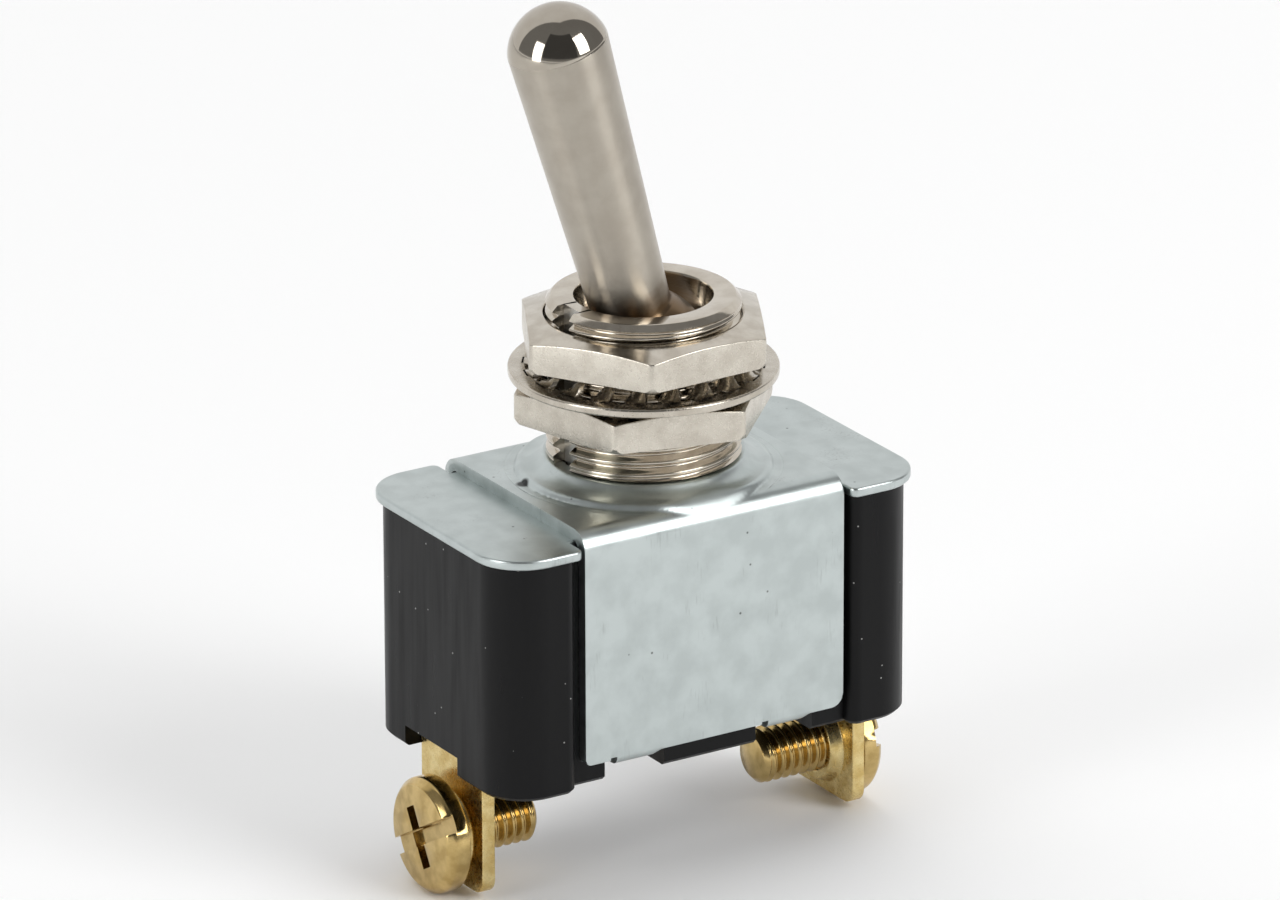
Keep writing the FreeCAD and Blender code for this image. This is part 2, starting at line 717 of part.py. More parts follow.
def make_housing():
    """Moulded case: round-cornered end blocks, a recessed middle, and the inner track."""
    body = new_body("housing")
    foot, top = CASE_FOOT, PLATE_FOOT
    add(body, "case_block", "XY_Plane", foot, top,
        lambda sketch: rounded_rectangle(sketch, CASE_END, CASE_SIDE, "Size.case_corner"))
    for side, low, high in (("front", f"-{CASE_SIDE} - Size.cut_margin", f"-({CASE_WAIST})"),
                            ("back", CASE_WAIST, f"{CASE_SIDE} + Size.cut_margin")):
        cut(body, f"{side}_recess", "XY_Plane", foot, top, lambda sketch: rectangle(
            sketch, f"-{RECESS_END}", RECESS_END, low, high))
    dress(body, "PartDesign::Fillet", "end_block_corners", "Size.recess_corner",
          corner_at(RECESS_END, CASE_SIDE))

    def lower_rim(edge):
        return all(near(height, foot) for height in (edge.BoundBox.ZMin, edge.BoundBox.ZMax))
    dress(body, "PartDesign::Chamfer", "foot_edge", "Size.foot_edge", lower_rim)

    rebate = "Size.insulator_clearance"
    cut(body, "insulator_rebate", "XY_Plane", INSULATOR_FOOT, top,
        lambda sketch: rounded_rectangle(
            sketch, f"({INSULATOR_END} + {rebate})",
            f"(Size.insulator_width / 2 + {rebate})", "Size.insulator_corner"))
    cut(body, "upper_cavity", "XY_Plane", "Size.ledge_height", INSULATOR_FOOT,
        lambda sketch: rounded_rectangle(sketch, TERMINAL_BACK, "Size.cavity_width / 2",
                                         "Size.cavity_corner"))
    cut(body, "contact_well", "XY_Plane", FLOOR, "Size.ledge_height",
        lambda sketch: rounded_rectangle(sketch, TERMINAL_BACK, "Size.well_width / 2",
                                         "Size.cavity_corner"))
    gap = "Size.terminal_clearance"
    for side, low, high in (
            ("left", f"-({TERMINAL_FACE} + {gap})", f"-({TERMINAL_BACK} - {gap})"),
            ("right", f"{TERMINAL_BACK} - {gap}", f"{TERMINAL_FACE} + {gap}")):
        cut(body, f"{side}_terminal_slot", "XY_Plane", foot,
            f"{FLOOR} + Size.terminal_thickness + {gap}",
            lambda sketch: rectangle(sketch, low, high, f"-Size.terminal_width / 2 - {gap}",
                                     f"Size.terminal_width / 2 + {gap}"))
    add(body, "contact_land", "XY_Plane", FLOOR, CONTACT_TOP,
        lambda sketch: rectangle(sketch, f"Size.left_leg_tip + {gap}",
                                 f"Size.right_leg_tip - {gap}",
                                 "-Size.well_width / 2", "Size.well_width / 2"))

    margin = "Size.tab_notch_margin"
    notches = [
        cut(body, f"{name}_tab_notch", "XY_Plane", foot, "Size.leg_foot + Size.tab_notch_room",
            lambda sketch: rectangle(
                sketch, f"{start} - {margin}", f"{end} + Size.tab_flank + {margin}",
                f"-({CASE_WAIST}) - Size.cut_margin",
                f"-({CASE_WAIST}) + Size.tab_notch_depth"))
        for name, start, end in (("near", "Size.near_tab_start", "Size.near_tab_end"),
                                 ("far", "Size.far_tab_start", "Size.far_tab_end"))]
    notches.append(
        cut(body, "end_notch", "XY_Plane", foot, f"{foot} + Size.end_notch_height",
            lambda sketch: rectangle(sketch, f"-{CASE_END} - Size.cut_margin",
                                     f"-{TERMINAL_BACK}",
                                     "Size.end_notch_near", "Size.end_notch_far")))
    polar_copies(body, "notches_both_ways", notches, "2")
    return body


def make_terminal(label, side, leg_tip, collar_outside):
    """Bent brass strip: a leg along the case floor and a tail with an extruded tapped collar."""
    body = new_body(label)
    face = f"{side} * {TERMINAL_FACE}"
    back = f"{side} * {TERMINAL_BACK}"
    top = f"{FLOOR} + Size.terminal_thickness"
    bend_start = f"{side} * ({TERMINAL_FACE} - Size.terminal_bend)"
    bend_height = f"{top} - Size.terminal_bend"

    def strip(sketch):
        outline(sketch, [
            (leg_tip, FLOOR),
            (back, FLOOR),
            (back, TERMINAL_FOOT),
            (face, TERMINAL_FOOT),
            (face, bend_height),
            (bend_start, top, bend_start, bend_height, side),
            (leg_tip, top),
        ])
    add(body, f"{label}_strip", "XZ_Plane", "-Size.terminal_width / 2",
        "Size.terminal_width / 2", strip)

    def tail_corner(edge):
        ends = [vertex.Point for vertex in edge.Vertexes]
        low = all(near(spot.z, TERMINAL_FOOT) for spot in ends)
        return low and abs(ends[0].x - ends[-1].x) > SHORTEST_EDGE
    dress(body, "PartDesign::Fillet", f"{label}_tail_corners", "Size.terminal_corner",
          tail_corner)

    # Both collars point along -X, one out of the case and one under it
    seat = f"-{TERMINAL_FACE}" if collar_outside else TERMINAL_BACK
    collar = add(body, f"{label}_collar", "YZ_Plane", f"{seat} - Size.collar_height", seat,
                 lambda sketch: circle(sketch, "Size.collar_radius - Size.collar_draft",
                                       "0", SCREW_HEIGHT))
    collar.setExpression("TaperAngle", "atan(Size.collar_draft / Size.collar_height)")
    cut(body, f"{label}_tapped_hole", "YZ_Plane", f"{seat} - Size.collar_height",
        f"{seat} + Size.terminal_thickness",
        lambda sketch: circle(sketch, "Size.screw_radius + Size.tap_clearance",
                              "0", SCREW_HEIGHT))
    return body


def make_fixed_contact(label, left, right):
    """Contact strip riveted on a terminal's leg."""
    body = new_body(label)
    add(body, f"{label}_strip", "XY_Plane", f"{FLOOR} + Size.terminal_thickness",
        CONTACT_TOP, lambda sketch: rectangle(
            sketch, left, right, "-Size.contact_half_width", "Size.contact_half_width"))
    return body


def make_carriage():
    """Moulded slider that the lever's stem pushes along the case."""
    body = new_body("contact_carriage")
    half = "Size.carriage_half_length"
    outer = "Size.cavity_width / 2 - Size.carriage_side_clearance"
    lower = "Size.well_width / 2 - Size.lower_block_clearance"
    rail_top = f"{INSULATOR_FOOT} - Size.rail_clearance"
    ledge = "Size.ledge_height + Size.ledge_clearance"
    block_foot = f"{BRIDGE_TOP} + Size.bridge_lift + Size.rail_clearance"
    cheek_foot = f"{CONTACT_TOP} + Size.cheek_clearance"

    def section(sketch):
        outline(sketch, [
            (f"-({outer})", ledge),
            (f"-({lower})", ledge),
            (f"-({lower})", cheek_foot),
            (lower, cheek_foot),
            (lower, ledge),
            (outer, ledge),
            (outer, rail_top),
            (f"{outer} - Size.rail_width", rail_top),
            (f"{outer} - Size.rail_width", "Size.carriage_deck"),
            (f"-({outer} - Size.rail_width)", "Size.carriage_deck"),
            (f"-({outer} - Size.rail_width)", rail_top),
            (f"-({outer})", rail_top),
        ])
    add(body, "carriage_block", "YZ_Plane", f"-{half}", half, section)
    bridge_room = "Size.bridge_half_length + Size.cheek_gap"
    cut(body, "bridge_room", "XZ_Plane", f"-({lower}) - Size.cut_margin",
        f"{lower} + Size.cut_margin",
        lambda sketch: rectangle(sketch, f"-({bridge_room})", bridge_room,
                                 cheek_foot, block_foot))
    cut(body, "spring_pocket", "XY_Plane", block_foot, "Size.spring_roof",
        lambda sketch: circle(sketch, "Size.spring_pocket_radius"))
    socket = "Size.stem_end_radius + Size.socket_clearance"
    turn(body, "stem_socket", [
        ("0", "Size.socket_floor"),
        (socket, "Size.socket_floor"),
        (socket, "Size.carriage_deck - Size.socket_flare"),
        (f"{socket} + Size.socket_flare", "Size.carriage_deck"),
        ("0", "Size.carriage_deck"),
    ], kind="PartDesign::Groove")
    body.setExpression("Placement.Base.x", TRAVEL)
    return body


def make_contact_spring():
    """Open coil spring of square wire between the carriage and the bridge."""
    body = new_body("contact_spring")
    foot = f"{BRIDGE_TOP} + Size.spring_wire"
    sketch = new_sketch(body, "spring_wire", "XZ_Plane")
    rectangle(sketch, "Size.spring_radius - Size.spring_wire",
              "Size.spring_radius + Size.spring_wire",
              f"{foot} - Size.spring_wire", f"{foot} + Size.spring_wire")
    coil = body.newObject("PartDesign::AdditiveHelix", "coil")
    coil.Profile = sketch
    coil.ReferenceAxis = (origin_feature(body, "Z_Axis"), [""])
    coil.Mode = "height-turns-angle"
    coil.setExpression("Height", f"Size.spring_roof - Size.spring_wire - ({foot})")
    coil.setExpression("Turns", "Size.spring_turns")
    body.setExpression("Placement.Base.x", TRAVEL)
    return body


def make_contact_bridge():
    """Copper strip that joins the two moving contacts."""
    body = new_body("contact_bridge")
    add(body, "bridge_strip", "XY_Plane", BRIDGE_FOOT, BRIDGE_TOP,
        lambda sketch: rounded_rectangle(sketch, "Size.bridge_half_length",
                                         "Size.bridge_width / 2", "Size.bridge_corner"))
    body.setExpression("Placement.Base.x", TRAVEL)
    return body


def make_contact_button(label, side):
    """Crowned contact riveted under the bridge."""
    body = new_body(label)
    crown = "Size.button_crown"
    turn(body, f"{label}_turning", [
        ("0", BUTTON_FOOT),
        (f"Size.button_radius - {crown}", BUTTON_FOOT),
        ("Size.button_radius", f"{BUTTON_FOOT} + {crown}"),
        ("Size.button_radius", BRIDGE_FOOT),
        ("0", BRIDGE_FOOT),
    ])
    body.setExpression("Placement.Base.x", f"{TRAVEL} + {side} * Size.button_offset")
    return body


def make_terminal_screw(label, side, seat, slot_turn):
    """Binding-head screw with a slot and a cross recess, drawn head up about its own axis.

    Its thread is plain at the crests' radius.
    """
    body = new_body(label)
    tip = "-Size.screw_length"
    turn(body, f"{label}_turning", [
        ("0", tip),
        ("Size.screw_radius - Size.screw_tip", tip),
        ("Size.screw_radius", f"{tip} + Size.screw_tip"),
        ("Size.screw_radius", "0"),
        ("Size.head_radius", "0"),
        ("Size.head_radius", "Size.head_height - Size.head_edge"),
        ("Size.head_face_radius", "Size.head_height"),
        ("0", "Size.head_height"),
    ])
    cut(body, f"{label}_slot", "XY_Plane", "Size.head_height - Size.slot_depth",
        "Size.head_height", lambda sketch: rectangle(
            sketch, "-Size.head_radius", "Size.head_radius",
            "-Size.slot_width / 2", "Size.slot_width / 2"))
    cut(body, f"{label}_cross", "XY_Plane", "Size.head_height - Size.cross_depth",
        "Size.head_height", lambda sketch: outline(sketch, cross_corners()))
    outward = FreeCAD.Rotation(Vector(0, 1, 0), side * 90)
    spin = FreeCAD.Rotation(Vector(0, 0, 1), value(slot_turn))
    body.Placement = FreeCAD.Placement(Vector(0, 0, 0), outward.multiply(spin))
    body.setExpression("Placement.Base.x", f"{side} * ({seat})")
    body.setExpression("Placement.Base.z", SCREW_HEIGHT)
    return body


def cross_corners():
    """Return the twelve corners of the cross recess."""
    long, half = "Size.cross_length / 2", "Size.cross_width / 2"
    quarter = [(long, f"-{half}"), (long, half), (half, half)]
    corners = []
    for _ in range(4):
        corners += quarter
        quarter = [(f"-({along})", across) for across, along in quarter]
    return corners


make_bushing()
make_ball_retainer()
make_lever()
make_pivot_pin()
make_nut("lower_hex_nut", "Size.lower_nut_height", "Size.lower_nut_turn")
make_lock_washer()
make_nut("upper_hex_nut", UPPER_NUT_HEIGHT, "Size.upper_nut_turn")
make_bracket()
make_cover_plate()
make_insulator()
make_housing()
make_terminal("terminal_left", -1, "Size.left_leg_tip", True)
make_terminal("terminal_right", 1, "Size.right_leg_tip", False)
BUTTON_REACH = "Size.button_offset + Size.button_radius + Size.contact_margin"
make_fixed_contact("fixed_contact_left", f"-({TRAVEL}) - ({BUTTON_REACH})",
                   "Size.left_leg_tip - Size.contact_edge")
make_fixed_contact("fixed_contact_right",
                   f"{TRAVEL} + Size.button_offset - Size.button_radius"
                   " - Size.contact_margin",
                   f"{TRAVEL} + {BUTTON_REACH}")
make_carriage()
make_contact_spring()
make_contact_bridge()
make_contact_button("contact_button_left", -1)
make_contact_button("contact_button_right", 1)
make_terminal_screw("terminal_screw_left", -1, f"{TERMINAL_FACE} + Size.collar_height",
                    "Size.left_slot_turn")
make_terminal_screw("terminal_screw_right", 1, TERMINAL_FACE, "Size.right_slot_turn")

doc.recompute()
for item in doc.Objects:
    broken = [state for state in item.State if state in ("Invalid", "Error")]
    if broken:
        raise RuntimeError(f"{item.Label} is {broken}")
bodies = [item for item in doc.Objects if item.TypeId == "PartDesign::Body"]
for body in bodies:
    if body.Shape.isNull() or not body.Shape.isValid() or len(body.Shape.Solids) != 1:
        raise RuntimeError(f"{body.Label} is not one valid solid")
os.makedirs("parts", exist_ok=True)
for body in bodies:
    body.Shape.exportStep(f"parts/{body.Label}.step")
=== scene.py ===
import logging
import math
from dataclasses import dataclass, field
from enum import Enum
from functools import partial
from typing import Callable, Optional, Sequence, Union

import bmesh
import bpy
from mathutils import Matrix, Vector


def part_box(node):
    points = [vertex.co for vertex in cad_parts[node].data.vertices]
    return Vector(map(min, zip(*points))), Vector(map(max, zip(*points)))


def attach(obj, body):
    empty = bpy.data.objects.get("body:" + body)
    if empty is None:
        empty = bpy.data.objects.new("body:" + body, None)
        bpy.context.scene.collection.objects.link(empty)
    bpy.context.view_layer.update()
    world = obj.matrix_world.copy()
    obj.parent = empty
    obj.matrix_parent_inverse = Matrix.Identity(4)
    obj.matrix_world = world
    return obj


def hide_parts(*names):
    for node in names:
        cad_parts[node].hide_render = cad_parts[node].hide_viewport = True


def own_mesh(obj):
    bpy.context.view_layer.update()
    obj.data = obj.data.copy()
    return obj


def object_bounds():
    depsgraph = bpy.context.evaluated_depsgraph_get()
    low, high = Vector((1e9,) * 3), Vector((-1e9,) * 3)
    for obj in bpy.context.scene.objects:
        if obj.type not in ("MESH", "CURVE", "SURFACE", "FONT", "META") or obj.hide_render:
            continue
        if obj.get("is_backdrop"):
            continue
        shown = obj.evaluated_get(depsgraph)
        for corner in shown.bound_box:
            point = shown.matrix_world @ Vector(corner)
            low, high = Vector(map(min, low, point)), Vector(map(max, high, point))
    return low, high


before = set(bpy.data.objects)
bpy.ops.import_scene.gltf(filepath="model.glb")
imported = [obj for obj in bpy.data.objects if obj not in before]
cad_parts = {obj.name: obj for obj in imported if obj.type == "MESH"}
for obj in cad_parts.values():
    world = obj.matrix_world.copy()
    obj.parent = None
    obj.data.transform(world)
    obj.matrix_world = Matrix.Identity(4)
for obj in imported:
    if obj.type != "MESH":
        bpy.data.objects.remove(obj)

CAD_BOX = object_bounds()
MM = 0.001
LOG = logging.getLogger("panel_toggle_switch")

Tree = bpy.types.NodeTree
Node = bpy.types.Node
Socket = bpy.types.NodeSocket
Piece = bpy.types.Object
Colour = tuple[float, float, float, float]
Point = tuple[float, float, float]
Flat = tuple[float, float]
Face = tuple[int, ...]
Row = tuple[Callable[[float], float], float]
Source = Union[Socket, Node, float, tuple]
Add = Callable[..., Node]


# Small helpers for colour, nodes and meshes


def linear(hex_colour: str) -> Colour:
    """Turn an sRGB hex colour to linear.

    Args:
        hex_colour: Six hex digits after a hash sign.

    Returns:
        The linear red, green, blue and an alpha of 1.
    """
    channels = [int(hex_colour[place:place + 2], 16) / 255 for place in (1, 3, 5)]
    red, green, blue = (
        level / 12.92 if level <= 0.04045 else ((level + 0.055) / 1.055) ** 2.4
        for level in channels)
    return red, green, blue, 1.0


def grey(level: float) -> Colour:
    """Return a neutral linear colour."""
    return level, level, level, 1.0


def per_mm(size: float) -> float:
    """Return the texture scale, in cycles per metre, of a feature this many mm across."""
    return 1.0 / (size * MM)


def metres(point: Point) -> Point:
    """Turn a point in mm to metres."""
    return point[0] * MM, point[1] * MM, point[2] * MM


def clamp(share: float) -> float:
    """Hold a share between 0 and 1."""
    return min(max(share, 0.0), 1.0)


def smooth(share: float) -> float:
    """Ease a share, held between 0 and 1, so that it starts and ends level."""
    share = clamp(share)
    return share * share * (3 - 2 * share)


def spread(first: float, last: float, spans: int) -> list[float]:
    """Return evenly spaced values from the first to the last."""
    return [first + (last - first) * step / spans for step in range(spans + 1)]


def polar(radius: float, turn: float, height: float) -> Point:
    """Return the point at a radius, an angle in radians and a height."""
    return radius * math.cos(turn), radius * math.sin(turn), height


def connect(node: Node, inputs: dict[Union[str, int], Source]) -> None:
    """Link or set a node's inputs.

    Args:
        node: The node.
        inputs: For each input, a socket or a node to link, or a plain value. A node stands
            for the first of its outputs that is in use.
    """
    for key, source in inputs.items():
        if isinstance(source, Node):
            source = next(output for output in source.outputs if output.enabled)
        if isinstance(source, Socket):
            node.id_data.links.new(source, node.inputs[key])
        else:
            node.inputs[key].default_value = source


def add_node(
    tree: Tree,
    kind: str,
    inputs: Optional[dict[Union[str, int], Source]] = None,
    stops: Sequence[tuple[float, Colour]] = (),
    **settings: object,
) -> Node:
    """Add a shader node with its settings and links.

    Args:
        tree: The material's or world's tree.
        kind: The node's type name, after ShaderNode.
        inputs: Its inputs, as for connect.
        stops: A colour ramp's places from 0 to 1 with their linear colours.
        **settings: Properties set on the node itself.

    Returns:
        The new node.
    """
    made = tree.nodes.new(f"ShaderNode{kind}")
    for name, setting in settings.items():
        setattr(made, name, setting)
    connect(made, inputs or {})
    if stops:
        band = made.color_ramp.elements
        while len(band) < len(stops):
            band.new(0.5)
        for element, (place, colour) in zip(band, stops):
            element.position = place
            element.color = colour
    return made


def round_profile(corners: Sequence[tuple[float, float, float]], steps: int = 4) -> list[Flat]:
    """Round the corners of an open outline.

    Args:
        corners: Across, along and the radius of each corner, in mm.
        steps: Spans in each rounded corner.

    Returns:
        The outline's points, in mm.
    """
    points: list[Flat] = []
    for number, (across, along, radius) in enumerate(corners):
        spot = Vector((across, along))
        if radius <= 0 or number in (0, len(corners) - 1):
            points.append((across, along))
            continue
        before = Vector(corners[number - 1][:2]) - spot
        after = Vector(corners[number + 1][:2]) - spot
        half = before.angle(after) / 2
        # A corner takes less than half of each side beside it
        cut = min(radius / math.tan(half), before.length * 0.49, after.length * 0.49)
        start, end = spot + before.normalized() * cut, spot + after.normalized() * cut
        for share in spread(0.0, 1.0, steps):
            bend = start.lerp(spot, share).lerp(spot.lerp(end, share), share)
            points.append((bend.x, bend.y))
    return points


def arc_points(
    centre: Flat, radius: float, first: float, last: float, steps: int,
) -> list[Flat]:
    """Return points along an arc.

    Args:
        centre: Across and along, in mm.
        radius: In mm.
        first: Start angle in degrees.
        last: End angle in degrees.
        steps: Number of spans.

    Returns:
        The points from start to end, in mm.
    """
    return [(centre[0] + radius * math.cos(turn), centre[1] + radius * math.sin(turn))
            for turn in map(math.radians, spread(first, last, steps))]


def arc_rise(away: float, wide: float, tall: float) -> float:
    """Return the rise of an arc at a distance from its level end.

    Args:
        away: The distance from the level end, in mm.
        wide: The arc's whole width.
        tall: Its whole height.

    Returns:
        The rise there, in mm.
    """
    curve = (wide * wide + tall * tall) / (2 * tall)
    return curve - math.sqrt(curve * curve - away * away)


def grid_faces(
    rows: int, columns: int, loop_rows: bool = False, loop_columns: bool = True,
) -> list[Face]:
    """Return the quads of a grid of vertices.

    Args:
        rows: Number of rows.
        columns: Vertices in a row.
        loop_rows: Whether the last row joins the first.
        loop_columns: Whether each row closes on itself.

    Returns:
        The quads, row by row.
    """
    faces = []
    for row in range(rows if loop_rows else rows - 1):
        low, high = row * columns, (row + 1) % rows * columns
        for column in range(columns if loop_columns else columns - 1):
            beside = (column + 1) % columns
            faces.append((low + column, low + beside, high + beside, high + column))
    return faces


def mesh_piece(
    name: str,
    points: Sequence[Point],
    faces: Sequence[Face],
    sharp: float = 35.0,
    placement: Optional[Matrix] = None,
    closed: bool = True,
) -> Piece:
    """Make an object from points in mm.

    Args:
        name: The piece's name.
        points: Vertices in mm.
        faces: Vertex numbers of each face.
        sharp: Angle in degrees above which an edge stays sharp.
        placement: Where the piece goes, with its translation in mm.
        closed: Whether the mesh is closed, so that its faces can be turned outward.

    Returns:
        The object, linked to the scene, with its mesh in metres.
    """
    mesh = bpy.data.meshes.new(name)
    mesh.from_pydata([Vector(point) for point in points], [], faces)
    if placement is not None:
        mesh.transform(placement)
    mesh.transform(Matrix.Scale(MM, 4))
    work = bmesh.new()
    work.from_mesh(mesh)
    merge = 1e-4 * MM
    bmesh.ops.remove_doubles(work, verts=work.verts, dist=merge)
    bmesh.ops.dissolve_degenerate(work, edges=work.edges, dist=merge)
    if closed:
        bmesh.ops.recalc_face_normals(work, faces=work.faces)
    return link_mesh(name, mesh, work, sharp)


def link_mesh(name: str, mesh: bpy.types.Mesh, work: bmesh.types.BMesh, sharp: float) -> Piece:
    """Write the worked faces back to a mesh, smooth all but sharp edges and link an object.

    Args:
        name: The object's name.
        mesh: The mesh that is written.
        work: Its faces, freed here.
        sharp: Angle in degrees above which an edge stays sharp.

    Returns:
        The object.
    """
    work.to_mesh(mesh)
    work.free()
    mesh.shade_smooth()
    mesh.set_sharp_from_angle(angle=math.radians(sharp))
    made = bpy.data.objects.new(name, mesh)
    bpy.context.scene.collection.objects.link(made)
    return made


def level_rows(profile: Sequence[Flat]) -> list[Row]:
    """Return rows that are round, from the radius and height of each in mm."""
    return [(lambda turn, radius=radius: radius, height) for radius, height in profile]


def lathe(
    name: str,
    rows: Sequence[Row],
    steps: int,
    sharp: float,
    placement: Optional[Matrix] = None,
) -> Piece:
    """Turn rows about Z into a closed piece.

    Args:
        name: The piece's name.
        rows: The radius at each angle, and the height, of each row in mm. They run from
            axis to axis, or the last joins the first.
        steps: Spans round the turn.
        sharp: Angle in degrees above which an edge stays sharp.
        placement: Where the piece goes.

    Returns:
        The object.
    """
    turns = spread(0.0, 2 * math.pi, steps)[:-1]
    points = [polar(radius_at(turn), turn, height) for radius_at, height in rows for turn in turns]
    on_axis = rows[0][0](0.0) == 0.0
    faces = grid_faces(len(rows), steps, loop_rows=not on_axis)
    return mesh_piece(name, points, faces, sharp, placement)


def soften(piece: Piece, width: float, angle: float = 40.0, spans: int = 2) -> None:
    """Round a piece's sharp edges.

    Args:
        piece: The object.
        width: Width of the rounding in mm.
        angle: Least angle in degrees of an edge that gets it.
        spans: Faces across the rounding.
    """
    bevel = piece.modifiers.new("edges", "BEVEL")
    bevel.width = width * MM
    bevel.segments = spans
    bevel.limit_method = "ANGLE"
    bevel.angle_limit = math.radians(angle)
    weights = piece.modifiers.new("normals", "WEIGHTED_NORMAL")
    # Large faces win over the narrow ones of a rounding
    weights.weight = 90


def carve(piece: Piece, cutters: Sequence[Piece]) -> None:
    """Cut solids out of a piece and drop them.

    Args:
        piece: The object that is cut.
        cutters: The solids that are taken away.
    """
    for cutter in cutters:
        tool = piece.modifiers.new("cut", "BOOLEAN")
        tool.operation = "DIFFERENCE"
        tool.solver = "EXACT"
        tool.object = cutter
    bpy.context.view_layer.update()
    graph = bpy.context.evaluated_depsgraph_get()
    carved = bpy.data.meshes.new_from_object(piece.evaluated_get(graph))
    piece.modifiers.clear()
    piece.data = carved
    for cutter in cutters:
        bpy.data.objects.remove(cutter)


def block(low: Point, high: Point, placement: Matrix) -> Piece:
    """Make a box for cutting.

    Args:
        low: Its lowest corner in mm.
        high: Its highest corner.
        placement: Where the box goes.

    Returns:
        The box.
    """
    points = [(x, y, z) for x in (low[0], high[0]) for y in (low[1], high[1])
              for z in (low[2], high[2])]
    faces = [(0, 1, 3, 2), (4, 6, 7, 5), (0, 4, 5, 1), (2, 3, 7, 6), (0, 2, 6, 4), (1, 5, 7, 3)]
    return mesh_piece("cutter", points, faces, placement=placement)


def refined_copy(node: str) -> Piece:
    """Copy a CAD node into a new piece whose flat faces are whole.

    Args:
        node: The node's name.

    Returns:
        The new object, named after the node.
    """
    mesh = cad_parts[node].data.copy()
    mesh.materials.clear()
    work = bmesh.new()
    work.from_mesh(mesh)
    bmesh.ops.remove_doubles(work, verts=work.verts, dist=2e-4 * MM)
    bmesh.ops.dissolve_limit(work, angle_limit=math.radians(0.5), verts=work.verts, edges=work.edges)
    return link_mesh(f"{node}_dressed", mesh, work, sharp=30.0)


def settle(piece: Piece, body: str, node: str, slot: str, *finishes: "Finish") -> None:
    """Dress a piece and put it in a CAD node's place.

    Args:
        piece: The object.
        body: The body that it moves with.
        node: The CAD node that it stands for, or nothing for a piece beside another.
        slot: The record's material slot; not used.
        *finishes: Its finishes, in the order of its faces' material numbers.
    """
    for finish in finishes:
        piece.data.materials.append(finish.material())
    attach(piece, body)
    if node:
        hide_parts(node)
    LOG.info("%s stands for %s on %s", piece.name, node or "a part of one", body)


# Finishes


MADE: dict[str, bpy.types.Material] = {}


@dataclass(frozen=True)
class Finish:
    """A real finish, which becomes one material.

    The shade is the darker of its two colours, and its lengths are in mm.
    """

    name: str = "finish"
    colour: str = "#808080"
    shade: str = "#707070"
    roughness: float = 0.3
    cloud: float = 1.4

    def material(self) -> bpy.types.Material:
        """Build the material once and return it."""
        if self.name not in MADE:
            made = MADE[self.name] = bpy.data.materials.new(self.name)
            made.use_nodes = True
            add = partial(add_node, made.node_tree)
            place = add("TexCoord").outputs["Object"]
            self.dress(add, made.node_tree.nodes["Principled BSDF"], place)
        return MADE[self.name]

    def dress(self, add: Add, shader: Node, place: Socket) -> None:
        """Give the shader its colour, gloss and relief.

        Args:
            add: Adds a node to the material.
            shader: The Principled shader.
            place: Object coordinates in metres.
        """
        raise NotImplementedError

    def clouds(self, add: Add, place: Socket) -> Node:
        """Drift between the finish's two colours over the surface.

        Args:
            add: Adds a node to the material.
            place: Object coordinates in metres.

        Returns:
            The node that gives the colour.
        """
        cloud = add("TexNoise", {"Vector": place, "Scale": per_mm(self.cloud), "Detail": 5.0})
        return add("ValToRGB", {"Fac": cloud}, stops=[
            (0.36, linear(self.shade)), (0.62, linear(self.colour))])

    def gloss(self, add: Add, pattern: Node, low: float, high: float) -> Node:
        """Vary the roughness with a pattern.

        Args:
            add: Adds a node to the material.
            pattern: The noise that it follows.
            low: Share of the finish's roughness where the pattern is low.
            high: Share where it is high.

        Returns:
            The node that gives the roughness.
        """
        return add("MapRange", {
            "Value": pattern, "From Min": 0.3, "From Max": 0.7,
            "To Min": self.roughness * low, "To Max": self.roughness * high})


